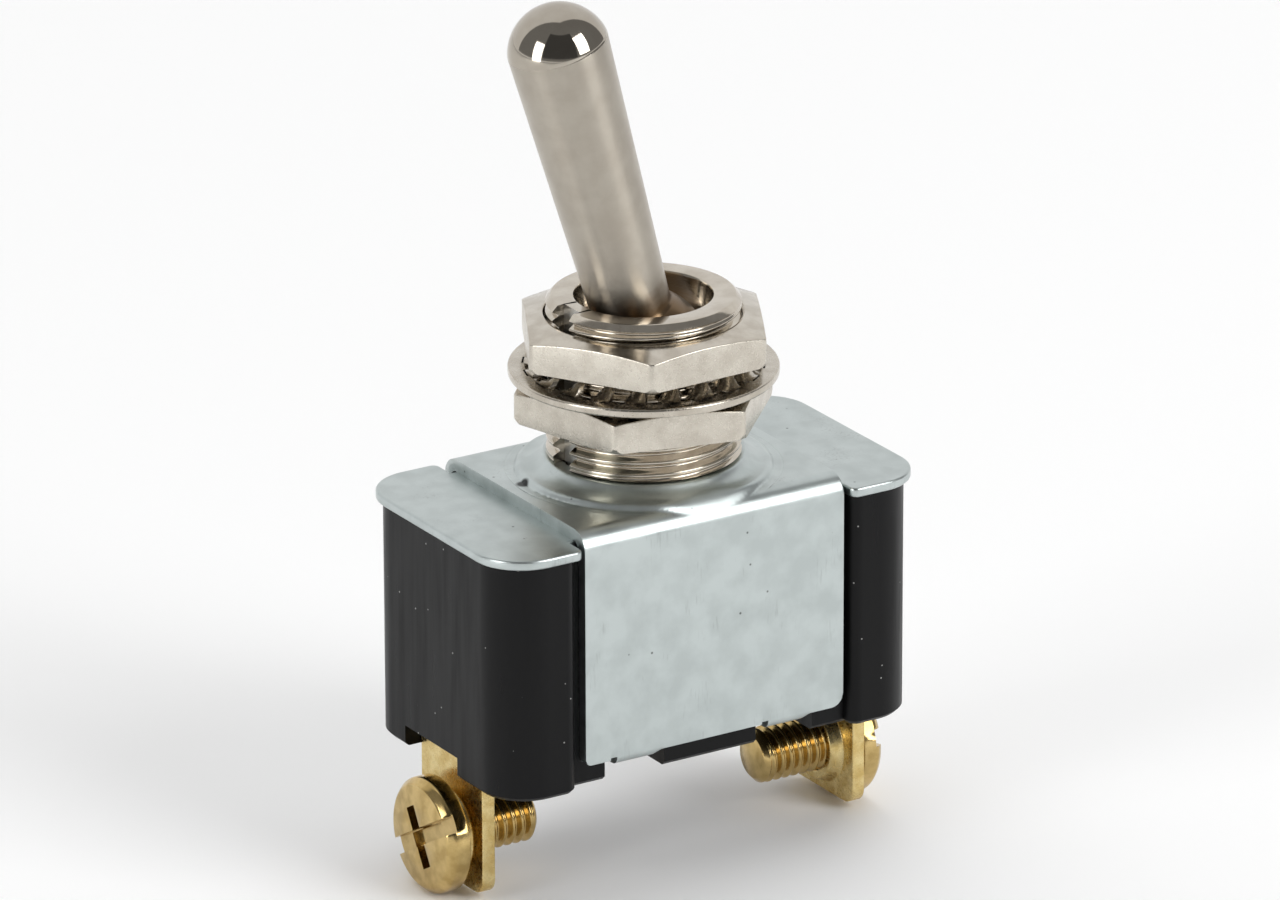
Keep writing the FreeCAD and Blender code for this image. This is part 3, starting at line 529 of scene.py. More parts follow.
@dataclass(frozen=True)
class BrushedNickel(Finish):
    """Nickel plate over brass, brushed round in the lathe: a soft sheen along the handle.

    The dome above the shoulder is polished, and the foot carries painted shade, warm brown, where the
    handle sinks into the bushing's mouth.
    """

    name: str = "brushed_nickel_plate"
    colour: str = "#b5aea2"
    shade: str = "#aea69a"
    # Painted shade, warm brown, at the handle's foot where it sinks into the bushing's mouth
    bronze: str = "#75614a"
    axis: Point = (0.0, 0.0, 1.0)
    pivot: Point = (0.0, 0.0, 0.0)
    shoulder: float = 21.5
    shoulder_edge: float = 0.03
    foot: float = 4.3
    bronze_reach: float = 1.5
    ragged: float = 1.6
    polished: float = 0.06

    def dress(self, add: Add, shader: Node, place: Socket) -> None:
        """Brush round the handle, polish its dome and paint shade on its foot."""
        reach = add("VectorMath", {0: place, 1: metres(self.pivot)}, operation="SUBTRACT")
        height = add("VectorMath", {0: reach, 1: self.axis}, operation="DOT_PRODUCT")
        blotch = add("TexNoise", {"Vector": place, "Scale": per_mm(1.1), "Detail": 4.0})
        # Painted shade at the foot fades out upward, and noise raises the height that is read, so it
        # ends in a ragged line
        ragged = add("Math", {0: blotch, 1: self.ragged * MM, 2: height}, operation="MULTIPLY_ADD")
        plated = add("MapRange", {
            "Value": ragged, "From Min": self.foot * MM,
            "From Max": (self.foot + self.bronze_reach) * MM})
        # Mix the warm brown painted shade at the foot into the plate's clouds
        tint = add("Mix", {
            "Factor": plated, "A": linear(self.bronze), "B": self.clouds(add, place)},
            data_type="RGBA")
        brushed = add("MapRange", {
            "Value": height, "From Min": (self.shoulder + self.shoulder_edge) * MM,
            "From Max": (self.shoulder - self.shoulder_edge) * MM})
        gloss = add("MapRange", {"Value": brushed, "To Min": self.polished, "To Max": self.roughness})
        # Marks 0.14 mm apart run round the handle and fade in and out
        rings = add("TexNoise", {
            "W": height, "Scale": per_mm(0.14), "Detail": 3.0}, noise_dimensions="1D")
        broken = add("Math", {0: rings, 1: blotch}, operation="MULTIPLY")
        relief = add("Math", {0: broken, 1: brushed}, operation="MULTIPLY")
        fine = add("Bump", {"Height": relief, "Distance": 0.006 * MM, "Strength": 0.5})
        # They spread the gloss along the handle's axis
        lengthwise = add("CombineXYZ", dict(zip("XYZ", self.axis)))
        tangent = add("VectorTransform", {"Vector": lengthwise},
                      vector_type="VECTOR", convert_from="OBJECT", convert_to="WORLD")
        connect(shader, {
            "Base Color": tint, "Metallic": 1.0, "Roughness": gloss, "Anisotropic": 0.85,
            "Tangent": tangent, "Normal": fine})


@dataclass(frozen=True)
class WorkedMetal(Finish):
    """Metal with a mottled colour over the fine grain of its blank."""

    grain: float = 0.12
    depth: float = 0.004
    strength: float = 0.35
    detail: float = 4.0
    turned: float = 0.0

    def dress(self, add: Add, shader: Node, place: Socket) -> None:
        """Mottle the metal and give it its grain, with tool marks where it was turned."""
        fine = add("TexNoise", {"Vector": place, "Scale": per_mm(self.grain), "Detail": self.detail})
        relief = add("Bump", {"Height": fine, "Distance": self.depth * MM, "Strength": self.strength})
        if self.turned:
            # Tool marks follow the height, this many mm apart
            height = add("SeparateXYZ", {"Vector": place}).outputs["Z"]
            lines = add("TexNoise", {
                "W": height, "Scale": per_mm(self.turned), "Detail": 3.0},
                noise_dimensions="1D")
            relief = add("Bump", {
                "Height": lines, "Distance": 0.008 * MM, "Strength": 0.5, "Normal": relief})
        connect(shader, {
            "Base Color": self.clouds(add, place), "Metallic": 1.0,
            "Roughness": self.gloss(add, fine, 0.7, 1.4), "Normal": relief})


@dataclass(frozen=True)
class NickelPlate(WorkedMetal):
    """Nickel plate on turned or pressed metal: warm grey, and bright where it is smooth."""

    name: str = "nickel_plate"
    colour: str = "#cbc4b8"
    shade: str = "#bbb3a6"
    roughness: float = 0.2
    cloud: float = 1.3


@dataclass(frozen=True)
class Brass(WorkedMetal):
    """Brass, rolled or turned: yellow metal with fine marks and slightly dull patches."""

    name: str = "brass"
    colour: str = "#dcc385"
    shade: str = "#c4a561"
    roughness: float = 0.26
    cloud: float = 0.9
    grain: float = 0.2
    depth: float = 0.005
    strength: float = 0.4
    detail: float = 3.0


@dataclass(frozen=True)
class ZincPlate(Finish):
    """Clear-passivated zinc on cold-rolled sheet: pale blue-grey with handling marks."""

    name: str = "clear_zinc_plate"
    colour: str = "#c4cccb"
    shade: str = "#b9c1c0"
    roughness: float = 0.34
    cloud: float = 1.7
    # A pit in the sheet's top, whose dark inside is painted shade
    pit: Point = (-7.85, 1.1, -1.0)
    pit_reach: Point = (0.6, 0.55, 0.4)
    ring: float = 0.0

    def dress(self, add: Add, shader: Node, place: Socket) -> None:
        """Add clouds, scuffs, specks, a pit darkened with painted shade and the sheet's fine tooth."""
        # Specks about 0.1 mm wide, in one cell of 1.7 mm each
        cells = add("TexVoronoi", {"Vector": place, "Scale": per_mm(1.7)})
        specks = add("ValToRGB", {"Fac": cells}, stops=[(0.03, grey(0.3)), (0.06, grey(1.0))])
        # Scuffs are bundles of upright strokes, 0.16 mm wide and 1.3 mm long
        strokes = add("Mapping", {"Vector": place, "Scale": (1.0, 1.0, 0.12)})
        scuff = add("TexNoise", {"Vector": strokes, "Scale": per_mm(0.16), "Detail": 2.0})
        region = add("TexNoise", {"Vector": place, "Scale": per_mm(2.6), "Detail": 2.0})
        worn = add("Math", {0: scuff, 1: region}, operation="MULTIPLY")
        marks = add("ValToRGB", {"Fac": worn}, stops=[(0.36, grey(1.0)), (0.48, grey(0.85))])
        # The pit is real but not dented here: painted shade makes it dark inside an ellipsoid of its
        # reach
        away = add("VectorMath", {0: place, 1: metres(self.pit)}, operation="SUBTRACT")
        across = add("VectorMath", {0: away, 1: metres(self.pit_reach)}, operation="DIVIDE")
        reach = add("VectorMath", {0: across}, operation="LENGTH")
        hollow = add("ValToRGB", {"Fac": reach}, stops=[(0.6, grey(0.05)), (1.0, grey(1.0))])
        layers = self.clouds(add, place)
        for layer in (specks, marks, hollow):
            layers = add("Mix", {"Factor": 1.0, "A": layers, "B": layer},
                         data_type="RGBA", blend_type="MULTIPLY")
        tooth = add("TexNoise", {"Vector": place, "Scale": per_mm(0.18), "Detail": 3.0})
        grain = add("Bump", {"Height": tooth, "Distance": 0.005 * MM, "Strength": 0.35})
        scored = add("Bump", {
            "Height": marks, "Distance": 0.004 * MM, "Strength": 0.4, "Normal": grain})
        if self.ring:
            scored = self.die_ring(add, place, scored)
        connect(shader, {
            "Base Color": layers, "Metallic": 1.0,
            "Roughness": self.gloss(add, region, 1.15, 0.85), "Normal": scored})

    def die_ring(self, add: Add, place: Socket, under: Node) -> Node:
        """Press the drawing die's faint ring, 0.2 mm wide, into the sheet's top.

        Args:
            add: Adds a node to the material.
            place: Object coordinates in metres.
            under: The relief that the ring is pressed into.

        Returns:
            The relief with the ring.
        """
        flat = add("VectorMath", {0: place, 1: (1.0, 1.0, 0.0)}, operation="MULTIPLY")
        radius = add("VectorMath", {0: flat}, operation="LENGTH")
        away = add("Math", {0: radius, 1: self.ring * MM}, operation="SUBTRACT")
        reach = add("Math", {0: away}, operation="ABSOLUTE")
        line = add("MapRange", {
            "Value": reach, "From Min": 0.0, "From Max": 0.1 * MM},
            interpolation_type="SMOOTHSTEP")
        height = add("SeparateXYZ", {"Vector": place}).outputs["Z"]
        on_top = add("MapRange", {
            "Value": height, "From Min": -1.1 * MM, "From Max": -1.02 * MM, "To Max": 0.7})
        return add("Bump", {"Height": line, "Distance": 0.03 * MM, "Strength": on_top, "Normal": under})


@dataclass(frozen=True)
class Phenolic(Finish):
    """Compression-moulded phenolic: near black and half matt, with flow streaks and dust."""

    name: str = "moulded_black_phenolic"
    colour: str = "#0e0e0f"
    dust: str = "#a8a8a6"
    roughness: float = 0.36

    def dress(self, add: Add, shader: Node, place: Socket) -> None:
        """Streak the gloss down the sides and scatter a little dust."""
        # Dust grains are about 0.1 mm wide, in one cell of 1.1 mm each
        cells = add("TexVoronoi", {"Vector": place, "Scale": per_mm(1.1)})
        dust = add("ValToRGB", {"Fac": cells}, stops=[
            (0.035, linear(self.dust)), (0.055, linear(self.colour))])
        # Flow streaks run down the sides, 0.7 mm wide and 8 mm long
        stretched = add("Mapping", {"Vector": place, "Scale": (1.0, 1.0, 0.09)})
        streak = add("TexNoise", {"Vector": stretched, "Scale": per_mm(0.7), "Detail": 4.0})
        skin = add("Bump", {"Height": streak, "Distance": 0.02 * MM, "Strength": 0.3})
        connect(shader, {
            "Base Color": dust, "Roughness": self.gloss(add, streak, 0.75, 1.3), "IOR": 1.55,
            "Specular IOR Level": 0.15, "Normal": skin})


@dataclass(frozen=True)
class PlainMoulding(Finish):
    """Moulded or pressed insulating board, matt with a fine skin."""

    name: str = "pressed_vulcanised_fibre"
    colour: str = "#5b5752"
    shade: str = "#4b4743"
    roughness: float = 0.6
    cloud: float = 0.8

    def dress(self, add: Add, shader: Node, place: Socket) -> None:
        """Mottle the board and give it a skin."""
        cloud = self.clouds(add, place)
        skin = add("Bump", {"Height": cloud, "Distance": 0.01 * MM, "Strength": 0.3})
        connect(shader, {"Base Color": cloud, "Roughness": self.roughness, "Normal": skin})


SPRING_STEEL = NickelPlate("tempered_spring_steel", "#9a9a9c", "#828285")
CONTACT_SILVER = NickelPlate("rolled_contact_silver", "#dcdcd8", "#c4c4c0")


# Threads


@dataclass
class ThreadForm:
    """A right-hand vee thread with a rounded crest and root, in mm."""

    radius: float
    depth: float
    pitch: float
    start: float
    end: float
    fade: float = 0.3
    rows_per_pitch: int = 20
    crest: float = 0.12
    flank: float = 0.74
    rounding: float = 0.35

    def radius_at(self, turn: float, height: float) -> float:
        """Return the thread's radius.

        Args:
            turn: Angle about the axis, in radians.
            height: Height along the axis.

        Returns:
            The radius there.
        """
        along = (height / self.pitch - turn / (2 * math.pi)) % 1.0
        slope = abs(2 * along - 1)
        groove = clamp((slope - self.crest) / self.flank)
        rounded = smooth(groove) * self.rounding + groove * (1 - self.rounding)
        start_share = clamp((height - self.start) / self.fade)
        end_share = clamp((self.end - height) / self.fade)
        return self.radius - self.depth * (1 - rounded) * start_share * end_share

    def heights(self) -> list[float]:
        """Return the heights of the rows that the thread needs."""
        count = math.ceil((self.end - self.start) / self.pitch * self.rows_per_pitch)
        return spread(self.start, self.end, count)


# Sub-assemblies


@dataclass
class Bushing:
    """Threaded bushing with keyway and flared mouth, and the ring below its thread."""

    thread: ThreadForm = field(default_factory=lambda: ThreadForm(
        radius=5.953, depth=0.46, pitch=0.79375, start=0.15, end=9.72))
    keyway_half: float = 0.95
    keyway_depth: float = 0.9
    keyway_floor: float = -4.9
    facing: float = -0.95
    ball_height: float = 6.35
    ball_room: float = 4.05
    columns: int = 232
    floor_columns: int = 10

    def build(self) -> None:
        """Build and dress the bushing."""
        _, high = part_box("bushing")
        piece = self.barrel(high.z / MM)
        plated = NickelPlate("bright_nickel_plate", "#cdc5b8", "#bfb6a8", 0.12, grain=0.5,
                             depth=0.002, strength=0.3, turned=0.16)
        milled = NickelPlate("milled_nickel_plate", "#d6d4cf", "#c6c3bd", 0.38, grain=0.3,
                             depth=0.004, strength=0.4)
        for face in piece.data.polygons:
            flat = face.normal.x < self.facing and face.center.x < self.keyway_floor * MM
            face.material_index = int(flat and abs(face.center.y) < self.keyway_half * MM)
        settle(piece, "case", "bushing", "bright_nickel", plated, milled)

    def turns(self) -> list[tuple[float, Optional[float]]]:
        """Return the columns: an angle, or for the keyway its place across the floor."""
        edge = math.asin(self.keyway_half / self.thread.radius)
        plain = [(turn, None) for turn in spread(edge - math.pi, math.pi - edge, self.columns)]
        floor = [(math.pi, across)
                 for across in spread(self.keyway_half, -self.keyway_half, self.floor_columns)]
        return plain + floor

    def barrel(self, top: float) -> Piece:
        """Build the closed mesh, row by row up the outside and down the inside.

        Args:
            top: Height of the mouth in mm.

        Returns:
            The bushing.
        """
        form = self.thread
        rows = level_rows([
            (4.35, -1.36), (5.45, -1.36), (5.5, -1.30), (5.5, -0.78), (5.0, -0.76),
            (5.0, 0.0), (form.radius - 0.15, 0.0)])
        for height in form.heights():
            rows.append((lambda turn, height=height: form.radius_at(turn, height), height))
        inner = [(5.93, top - 0.355), (5.62, top - 0.03), (5.58, top - 0.005), (5.52, top),
                 (4.34, top), (4.28, top - 0.015), (4.25, top - 0.05), (4.235, top - 0.2),
                 (3.80, 8.0), (3.755, 7.93), (3.75, 7.88)]
        inner += arc_points((0.0, self.ball_height), self.ball_room, 22.2, 0.0, 6)
        inner += [(self.ball_room, 3.8), (self.ball_room, -0.96)]
        rows += level_rows(inner)
        floor_radius = form.radius - self.keyway_depth
        points: list[Point] = []
        columns = self.turns()
        for radius_at, height in rows:
            for turn, across in columns:
                radius = radius_at(turn)
                if across is None:
                    points.append(polar(radius, turn, height))
                    continue
                deep = math.sqrt(max(radius * radius - across * across, 0.0))
                if height >= 0.0:
                    deep = min(deep, floor_radius)
                points.append((-deep, across, height))
        faces = grid_faces(len(rows), len(columns), loop_rows=True)
        return mesh_piece("bushing_barrel", points, faces, sharp=50.0)


@dataclass
class Lever:
    """Bat lever: domed handle, ball and stem, turned in one piece. Heights are from its pivot."""

    lean: float = 16.2
    pivot: Point = (0.0, 0.0, 6.35)
    knob: float = 1.6
    knob_tip: float = -13.6
    stem: float = 1.5
    ball: float = 4.0
    neck: Flat = (2.465, 3.35)
    rim: Flat = (3.09, 21.44)
    shoulder: float = 21.5
    dome: float = 3.16
    tip: float = 24.0

    def build(self) -> None:
        """Build and dress the lever."""
        profile = arc_points((0.0, self.knob_tip + self.knob), self.knob, -90, 69, 14)
        profile += [(self.stem, -11.2), (self.stem, -3.75)]
        profile += arc_points((0.0, 0.0), self.ball, -68, 49.5, 48)
        profile += [(2.60, 3.06), (2.50, 3.18), (2.47, 3.35)]
        (foot, low), (wide, high) = self.neck, self.rim
        profile += list(zip(spread(foot, wide, 12), spread(low, high, 12)))[1:]
        profile += [(3.085, self.shoulder), (3.06, self.shoulder + 0.06)]
        centre = self.tip - self.dome
        start = math.degrees(math.atan2(self.shoulder + 0.12 - centre, 3.04))
        profile += arc_points((0.0, centre), self.dome, start, 90, 30)
        profile[0] = (0.0, self.knob_tip)
        profile[-1] = (0.0, self.tip)
        lean = math.radians(self.lean)
        placement = Matrix.Translation(self.pivot) @ Matrix.Rotation(-lean, 4, "Y")
        piece = lathe("lever_handle", level_rows(profile), steps=160, sharp=40.0, placement=placement)
        settle(piece, "lever", "toggle_lever", "satin_nickel", BrushedNickel(
            axis=(-math.sin(lean), 0.0, math.cos(lean)), pivot=self.pivot,
            shoulder=self.shoulder))


@dataclass
class HexNut:
    """Thin hex nut: its top falls away in a shallow cone, its foot corners are broken."""

    node: str
    body: str
    turn: float
    flats: float = 14.29
    corner_radius: float = 8.19
    bore: float = 6.0
    cone_start: float = 6.22
    cone_slope: float = 15.5
    foot_start: float = 8.05
    foot_slope: float = 63.5
    entry: float = 0.12
    top_facing: float = 0.6
    spans: int = 48

    def turns(self) -> list[float]:
        """Return the angles of the sections, with one at each edge of each corner's land."""
        land = math.degrees(math.acos(self.flats / 2 / self.corner_radius))
        turns: list[float] = []
        for side in range(6):
            middle = self.turn + 30 + 60 * side
            turns += spread(middle - land, middle + land, self.spans)
            turns.append(middle + 30)
        return [math.radians(turn) for turn in turns]

    def wall_radius(self, turn: float) -> float:
        """Return the plan radius of the hexagon, with a narrow land at its corners."""
        sector = (turn - math.radians(self.turn)) % (math.pi / 3) - math.pi / 6
        return min(self.flats / 2 / math.cos(sector), self.corner_radius)

    def section(self, turn: float, foot: float, top: float) -> list[Flat]:
        """Return the section of the nut at one angle.

        Args:
            turn: Angle in radians.
            foot: Height of the nut's foot in mm.
            top: Height of its top in mm.

        Returns:
            Radius and height of each point.
        """
        wide = self.wall_radius(turn)
        rise = max(wide - self.foot_start, 0.0) * math.tan(math.radians(self.foot_slope))
        drop = (wide - self.cone_start) * math.tan(math.radians(self.cone_slope))
        bore, entry = self.bore, self.entry
        return round_profile([
            (bore, foot + entry, 0.0), (bore + entry, foot, 0.04),
            (min(wide, self.foot_start) - 0.02, foot, 0.06), (wide, foot + rise + 0.02, 0.06),
            (wide, top - drop, 0.09), (self.cone_start, top, 0.1),
            (bore + entry, top, 0.04), (bore, top - entry, 0.0)], 3)

    def build(self) -> None:
        """Build and dress the nut."""
        low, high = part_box(self.node)
        turns = self.turns()
        sections = [self.section(turn, low.z / MM, high.z / MM) for turn in turns]
        rows = len(sections[0])
        points = [polar(section[row][0], turn, section[row][1])
                  for row in range(rows) for turn, section in zip(turns, sections)]
        faces = grid_faces(rows, len(turns), loop_rows=True)
        piece = mesh_piece(f"{self.node}_body", points, faces, sharp=45.0)
        for face in piece.data.polygons:
            face.material_index = int(face.normal.z > self.top_facing)
        wall = NickelPlate("grainy_nickel_plate", "#d2ccc0", "#c3bcb0", 0.3, grain=0.15,
                           depth=0.014, strength=0.6)
        top = NickelPlate("faced_nickel_plate", "#cdc6ba", "#bdb5a8", 0.16, grain=0.3,
                          depth=0.004, strength=0.4)
        settle(piece, self.body, self.node, "nut_nickel", wall, top)


@dataclass
class LockWasher:
    """Internal-tooth lock washer with twisted teeth."""

    radius: float = 8.25
    inner: float = 7.2
    thick: float = 0.55
    rise: float = 1.52
    teeth: int = 20
    tooth_width: float = 1.5
    root_width: float = 1.2
    twist: float = 50.0
    sink: float = 0.25
    tip: float = 6.05
    twist_start: float = 0.3
    twist_end: float = 0.9
    spans: int = 7

    def build(self) -> None:
        """Build and dress the washer."""
        low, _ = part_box("lock_washer")
        foot = low.z / MM
        middle = (self.inner + self.radius) / 2
        ring = round_profile([
            (middle, foot, 0.0), (self.radius, foot, 0.14),
            (self.radius, foot + self.thick, 0.16), (self.inner, foot + self.thick, 0.08),
            (self.inner, foot, 0.08), (middle, foot, 0.0)], 4)
        piece = lathe("lock_washer_ring", level_rows(ring[:-1]), steps=192, sharp=45.0)
        points: list[Point] = []
        faces: list[Face] = []
        for tooth in range(self.teeth):
            self.add_tooth(points, faces, 2 * math.pi * tooth / self.teeth, foot)
        teeth = mesh_piece("lock_washer_teeth", points, faces, sharp=45.0)
        soften(teeth, 0.06)
        plated = NickelPlate("washer_nickel_plate", "#c9c2b6", "#b9b1a4", 0.22, grain=0.2,
                             depth=0.006, strength=0.45)
        settle(piece, "lower_nut", "lock_washer", "bright_nickel", plated)
        settle(teeth, "lower_nut", "", "bright_nickel", plated)

    def add_tooth(
        self, points: list[Point], faces: list[Face], turn: float, foot: float,
    ) -> None:
        """Sweep one tooth inward from the ring while it twists.

        Args:
            points: The washer's points, which the tooth's join.
            faces: The washer's faces, which the tooth's join.
            turn: The tooth's angle in radians.
            foot: Height of the ring's foot in mm.
        """
        first = len(points)
        root = self.inner + self.sink
        for share in spread(0.0, 1.0, self.spans):
            radius = root + (self.tip - root) * share
            bend = clamp((share - self.twist_start) / (self.twist_end - self.twist_start))
            angle = math.radians(self.twist) * smooth(bend)
            middle = foot + self.thick / 2 + (self.rise - self.thick) / 2 * bend
            half = (self.root_width + (self.tooth_width - self.root_width) * bend) / 2
            for side, face in ((-1, -1), (1, -1), (1, 1), (-1, 1)):
                across, up = side * half, face * self.thick / 2
                y = across * math.cos(angle) - up * math.sin(angle)
                z = middle + across * math.sin(angle) + up * math.cos(angle)
                points.append((radius * math.cos(turn) - y * math.sin(turn),
                               radius * math.sin(turn) + y * math.cos(turn), z))
        last = first + self.spans * 4
        faces += [tuple(first + corner for corner in face) for face in grid_faces(self.spans + 1, 4)]
        faces += [(first, first + 3, first + 2, first + 1), (last, last + 1, last + 2, last + 3)]


@dataclass
class Bracket:
    """Folded and drawn sheet over the case. Its second side is the first turned half round."""

    half_x: float = 9.215
    half_y: float = 8.15
    thick: float = 0.76
    bend: float = 1.3
    top: float = -1.0
    foot: float = -15.96
    tab_foot: float = -16.40
    tab_bend: float = 0.6
    tab_reach: float = 3.3
    tabs: tuple[Flat, ...] = ((-7.0, -4.4), (3.8, 6.25))
    flank: float = 0.82
    slit: float = 0.45
    hole: float = 5.3
    hole_floor: float = -2.0
    boss_foot: float = 7.9
    boss_rim: float = 7.45
    boss_rim_rise: float = 0.36
    boss_top: float = 6.15
    ring_gap: float = 0.55
    fade_turn: float = 0.6
    sharp_corner: float = 0.4
    blunt_corner: float = 0.85
    grid: float = 0.095
    leg_steps: int = 16
    bend_steps: int = 16
    turn_steps: int = 8
    fold_steps: int = 14

    def build(self) -> None:
        """Build and dress the bracket."""
        settle(self.sheet(), "case", "bracket", "zinc_plate",
               ZincPlate("drawn_zinc_plate", ring=self.boss_foot + self.ring_gap),
               ZincPlate("sheared_zinc_edge", "#c9d0cf", "#b3bbb9"))

    def columns(self) -> list[float]:
        """Return the grid lines across the sheet, with one at each edge of tab and slit."""
        lines = spread(-self.half_x, self.half_x, round(self.half_x * 2 / self.grid))
        edges = [side * place for start, end in self.tabs for side in (-1, 1)
                 for place in (start - self.slit, start, end)]
        # A third of a span keeps the grid free of hairline columns
        kept = [line for line in lines if all(abs(line - edge) > 0.03 for edge in edges)]
        return sorted(kept + edges)

    def boss_height(self, x: float, y: float) -> float:
        """Return how far the drawn boss lifts the sheet there."""
        radius = math.hypot(x, y)
        rise = self.boss_rim_rise
        if radius >= self.boss_foot:
            return 0.0
        if radius >= self.boss_rim:
            return rise - arc_rise(radius - self.boss_rim, self.boss_foot - self.boss_rim, rise)
        if radius <= self.boss_top:
            return -self.top
        return rise + arc_rise(self.boss_rim - radius, self.boss_rim - self.boss_top, -self.top - rise)

    def tab_share(self, along: float) -> float:
        """Return how far a leg turns into a tab.

        Args:
            along: Place along the leg in mm.

        Returns:
            1 in a tab, less on its flank and 0 beside it.
        """
        for start, end in self.tabs:
            if start - 1e-6 <= along < end + self.flank:
                return smooth(1 - (along - end) / self.flank)
        return 0.0

    def in_slit(self, along: float) -> bool:
        """Tell whether a place along a leg lies in the relief cut beside a tab."""
        return any(start - self.slit < along < start for start, _ in self.tabs)

    def corner_lift(self, along: float) -> float:
        """Return how far the leg's round end corner lifts its edge there."""
        radius = self.blunt_corner if along > 0 else self.sharp_corner
        over = max(abs(along) - (self.half_x - radius), 0.0)
        return radius - math.sqrt(max(radius * radius - over * over, 0.0))

    def leg_points(self, x: float, side: int) -> list[Point]:
        """Return the outer face's points down one leg and under its tab.

        Args:
            x: Place along the case in mm.
            side: -1 for the front leg, 1 for the back one.

        Returns:
            The points, from the bend down and inward.
        """
        along = x * -side
        share = self.tab_share(along)
        start = self.top - self.bend
        bend_top = self.tab_foot + self.tab_bend
        edge = self.foot + self.corner_lift(along)
        lower = max(bend_top, edge)
        points = [(x, side * self.half_y, height)
                  for height in spread(start, lower, self.leg_steps)]
        for step in range(1, self.fold_steps + 1):
            turned = min(step / self.turn_steps, 1.0)
            turn = math.pi / 2 * turned
            run = max(step - self.turn_steps, 0) / (self.fold_steps - self.turn_steps)
            inward = self.tab_bend * (1 - math.cos(turn)) + (self.tab_reach - self.tab_bend) * run
            height = bend_top - self.tab_bend * math.sin(turn)
            plain = lower + (edge - lower) * turned
            points.append((x, side * (self.half_y - inward * share), plain + (height - plain) * share))
        return points

    def bend_point(self, x: float, side: int, turn: float) -> Point:
        """Return a point on the bend between a leg and the top, where the boss fades out.

        Args:
            x: Place along the case in mm.
            side: -1 for the front leg, 1 for the back one.
            turn: Angle from the leg in radians.

        Returns:
            The point in mm.
        """
        y = side * (self.half_y - self.bend + self.bend * math.cos(turn))
        share = (turn - self.fade_turn) / (math.pi / 2 - self.fade_turn)
        lift = self.boss_height(x, y) * smooth(share)
        return x, y, self.top - self.bend + self.bend * math.sin(turn) + lift

    def is_open(self, corners: Sequence[Point], from_end: int) -> bool:
        """Tell whether a face of the grid is left out.

        Args:
            corners: The face's corners in mm.
            from_end: Rows between the face and the nearer end of its column.

        Returns:
            True in the bushing's hole and in the slits beside the tabs.
        """
        x, y, z = (sum(steps) / len(corners) for steps in zip(*corners))
        side = -1 if y < 0 else 1
        in_hole = math.hypot(x, y) < self.hole and z > self.hole_floor
        return in_hole or (from_end < self.fold_steps and self.in_slit(-side * x))

    def sheet(self) -> Piece:
        """Build the sheet's outer face as a grid, then give it thickness and soft edges."""
        columns = self.columns()
        top_y = self.half_y - self.bend
        flat = spread(-top_y, top_y, round(2 * top_y / self.grid))
        bends = spread(0.0, math.pi / 2, self.bend_steps)[1:-1]
        points: list[Point] = []
        for x in columns:
            points += self.leg_points(x, -1)[::-1]
            points += [self.bend_point(x, -1, turn) for turn in bends]
            points += [(x, y, self.top + self.boss_height(x, y)) for y in flat]
            points += [self.bend_point(x, 1, turn) for turn in reversed(bends)]
            points += self.leg_points(x, 1)
        spans = len(points) // len(columns) - 1
        faces = []
        grid = grid_faces(len(columns), spans + 1, loop_columns=False)
        for number, (a, b, c, d) in enumerate(grid):
            row = number % spans
            corners = [points[corner] for corner in (a, d, c, b)]
            if not self.is_open(corners, min(row, spans - 1 - row)):
                faces.append((a, d, c, b))
        used = sorted({corner for face in faces for corner in face})
        place = {corner: number for number, corner in enumerate(used)}
        piece = mesh_piece(
            "bracket_sheet", [points[corner] for corner in used],
            [tuple(place[corner] for corner in face) for face in faces],
            sharp=60.0, closed=False)
        shell = piece.modifiers.new("sheet", "SOLIDIFY")
        shell.thickness = self.thick * MM
        shell.offset = -1.0
        shell.material_offset_rim = 1
        soften(piece, 0.07, 60.0)
        return piece


@dataclass
class Case:
    """Black moulded case with the plate that closes it."""

    def build(self) -> None:
        """Dress copies of the case and of the plate."""
        case = refined_copy("housing")
        soften(case, 0.12, 35.0, 3)
        settle(case, "case", "housing", "black_phenolic", Phenolic())
        plate = refined_copy("cover_plate")
        soften(plate, 0.16, 35.0, 3)
        settle(plate, "case", "cover_plate", "zinc_plate", ZincPlate())


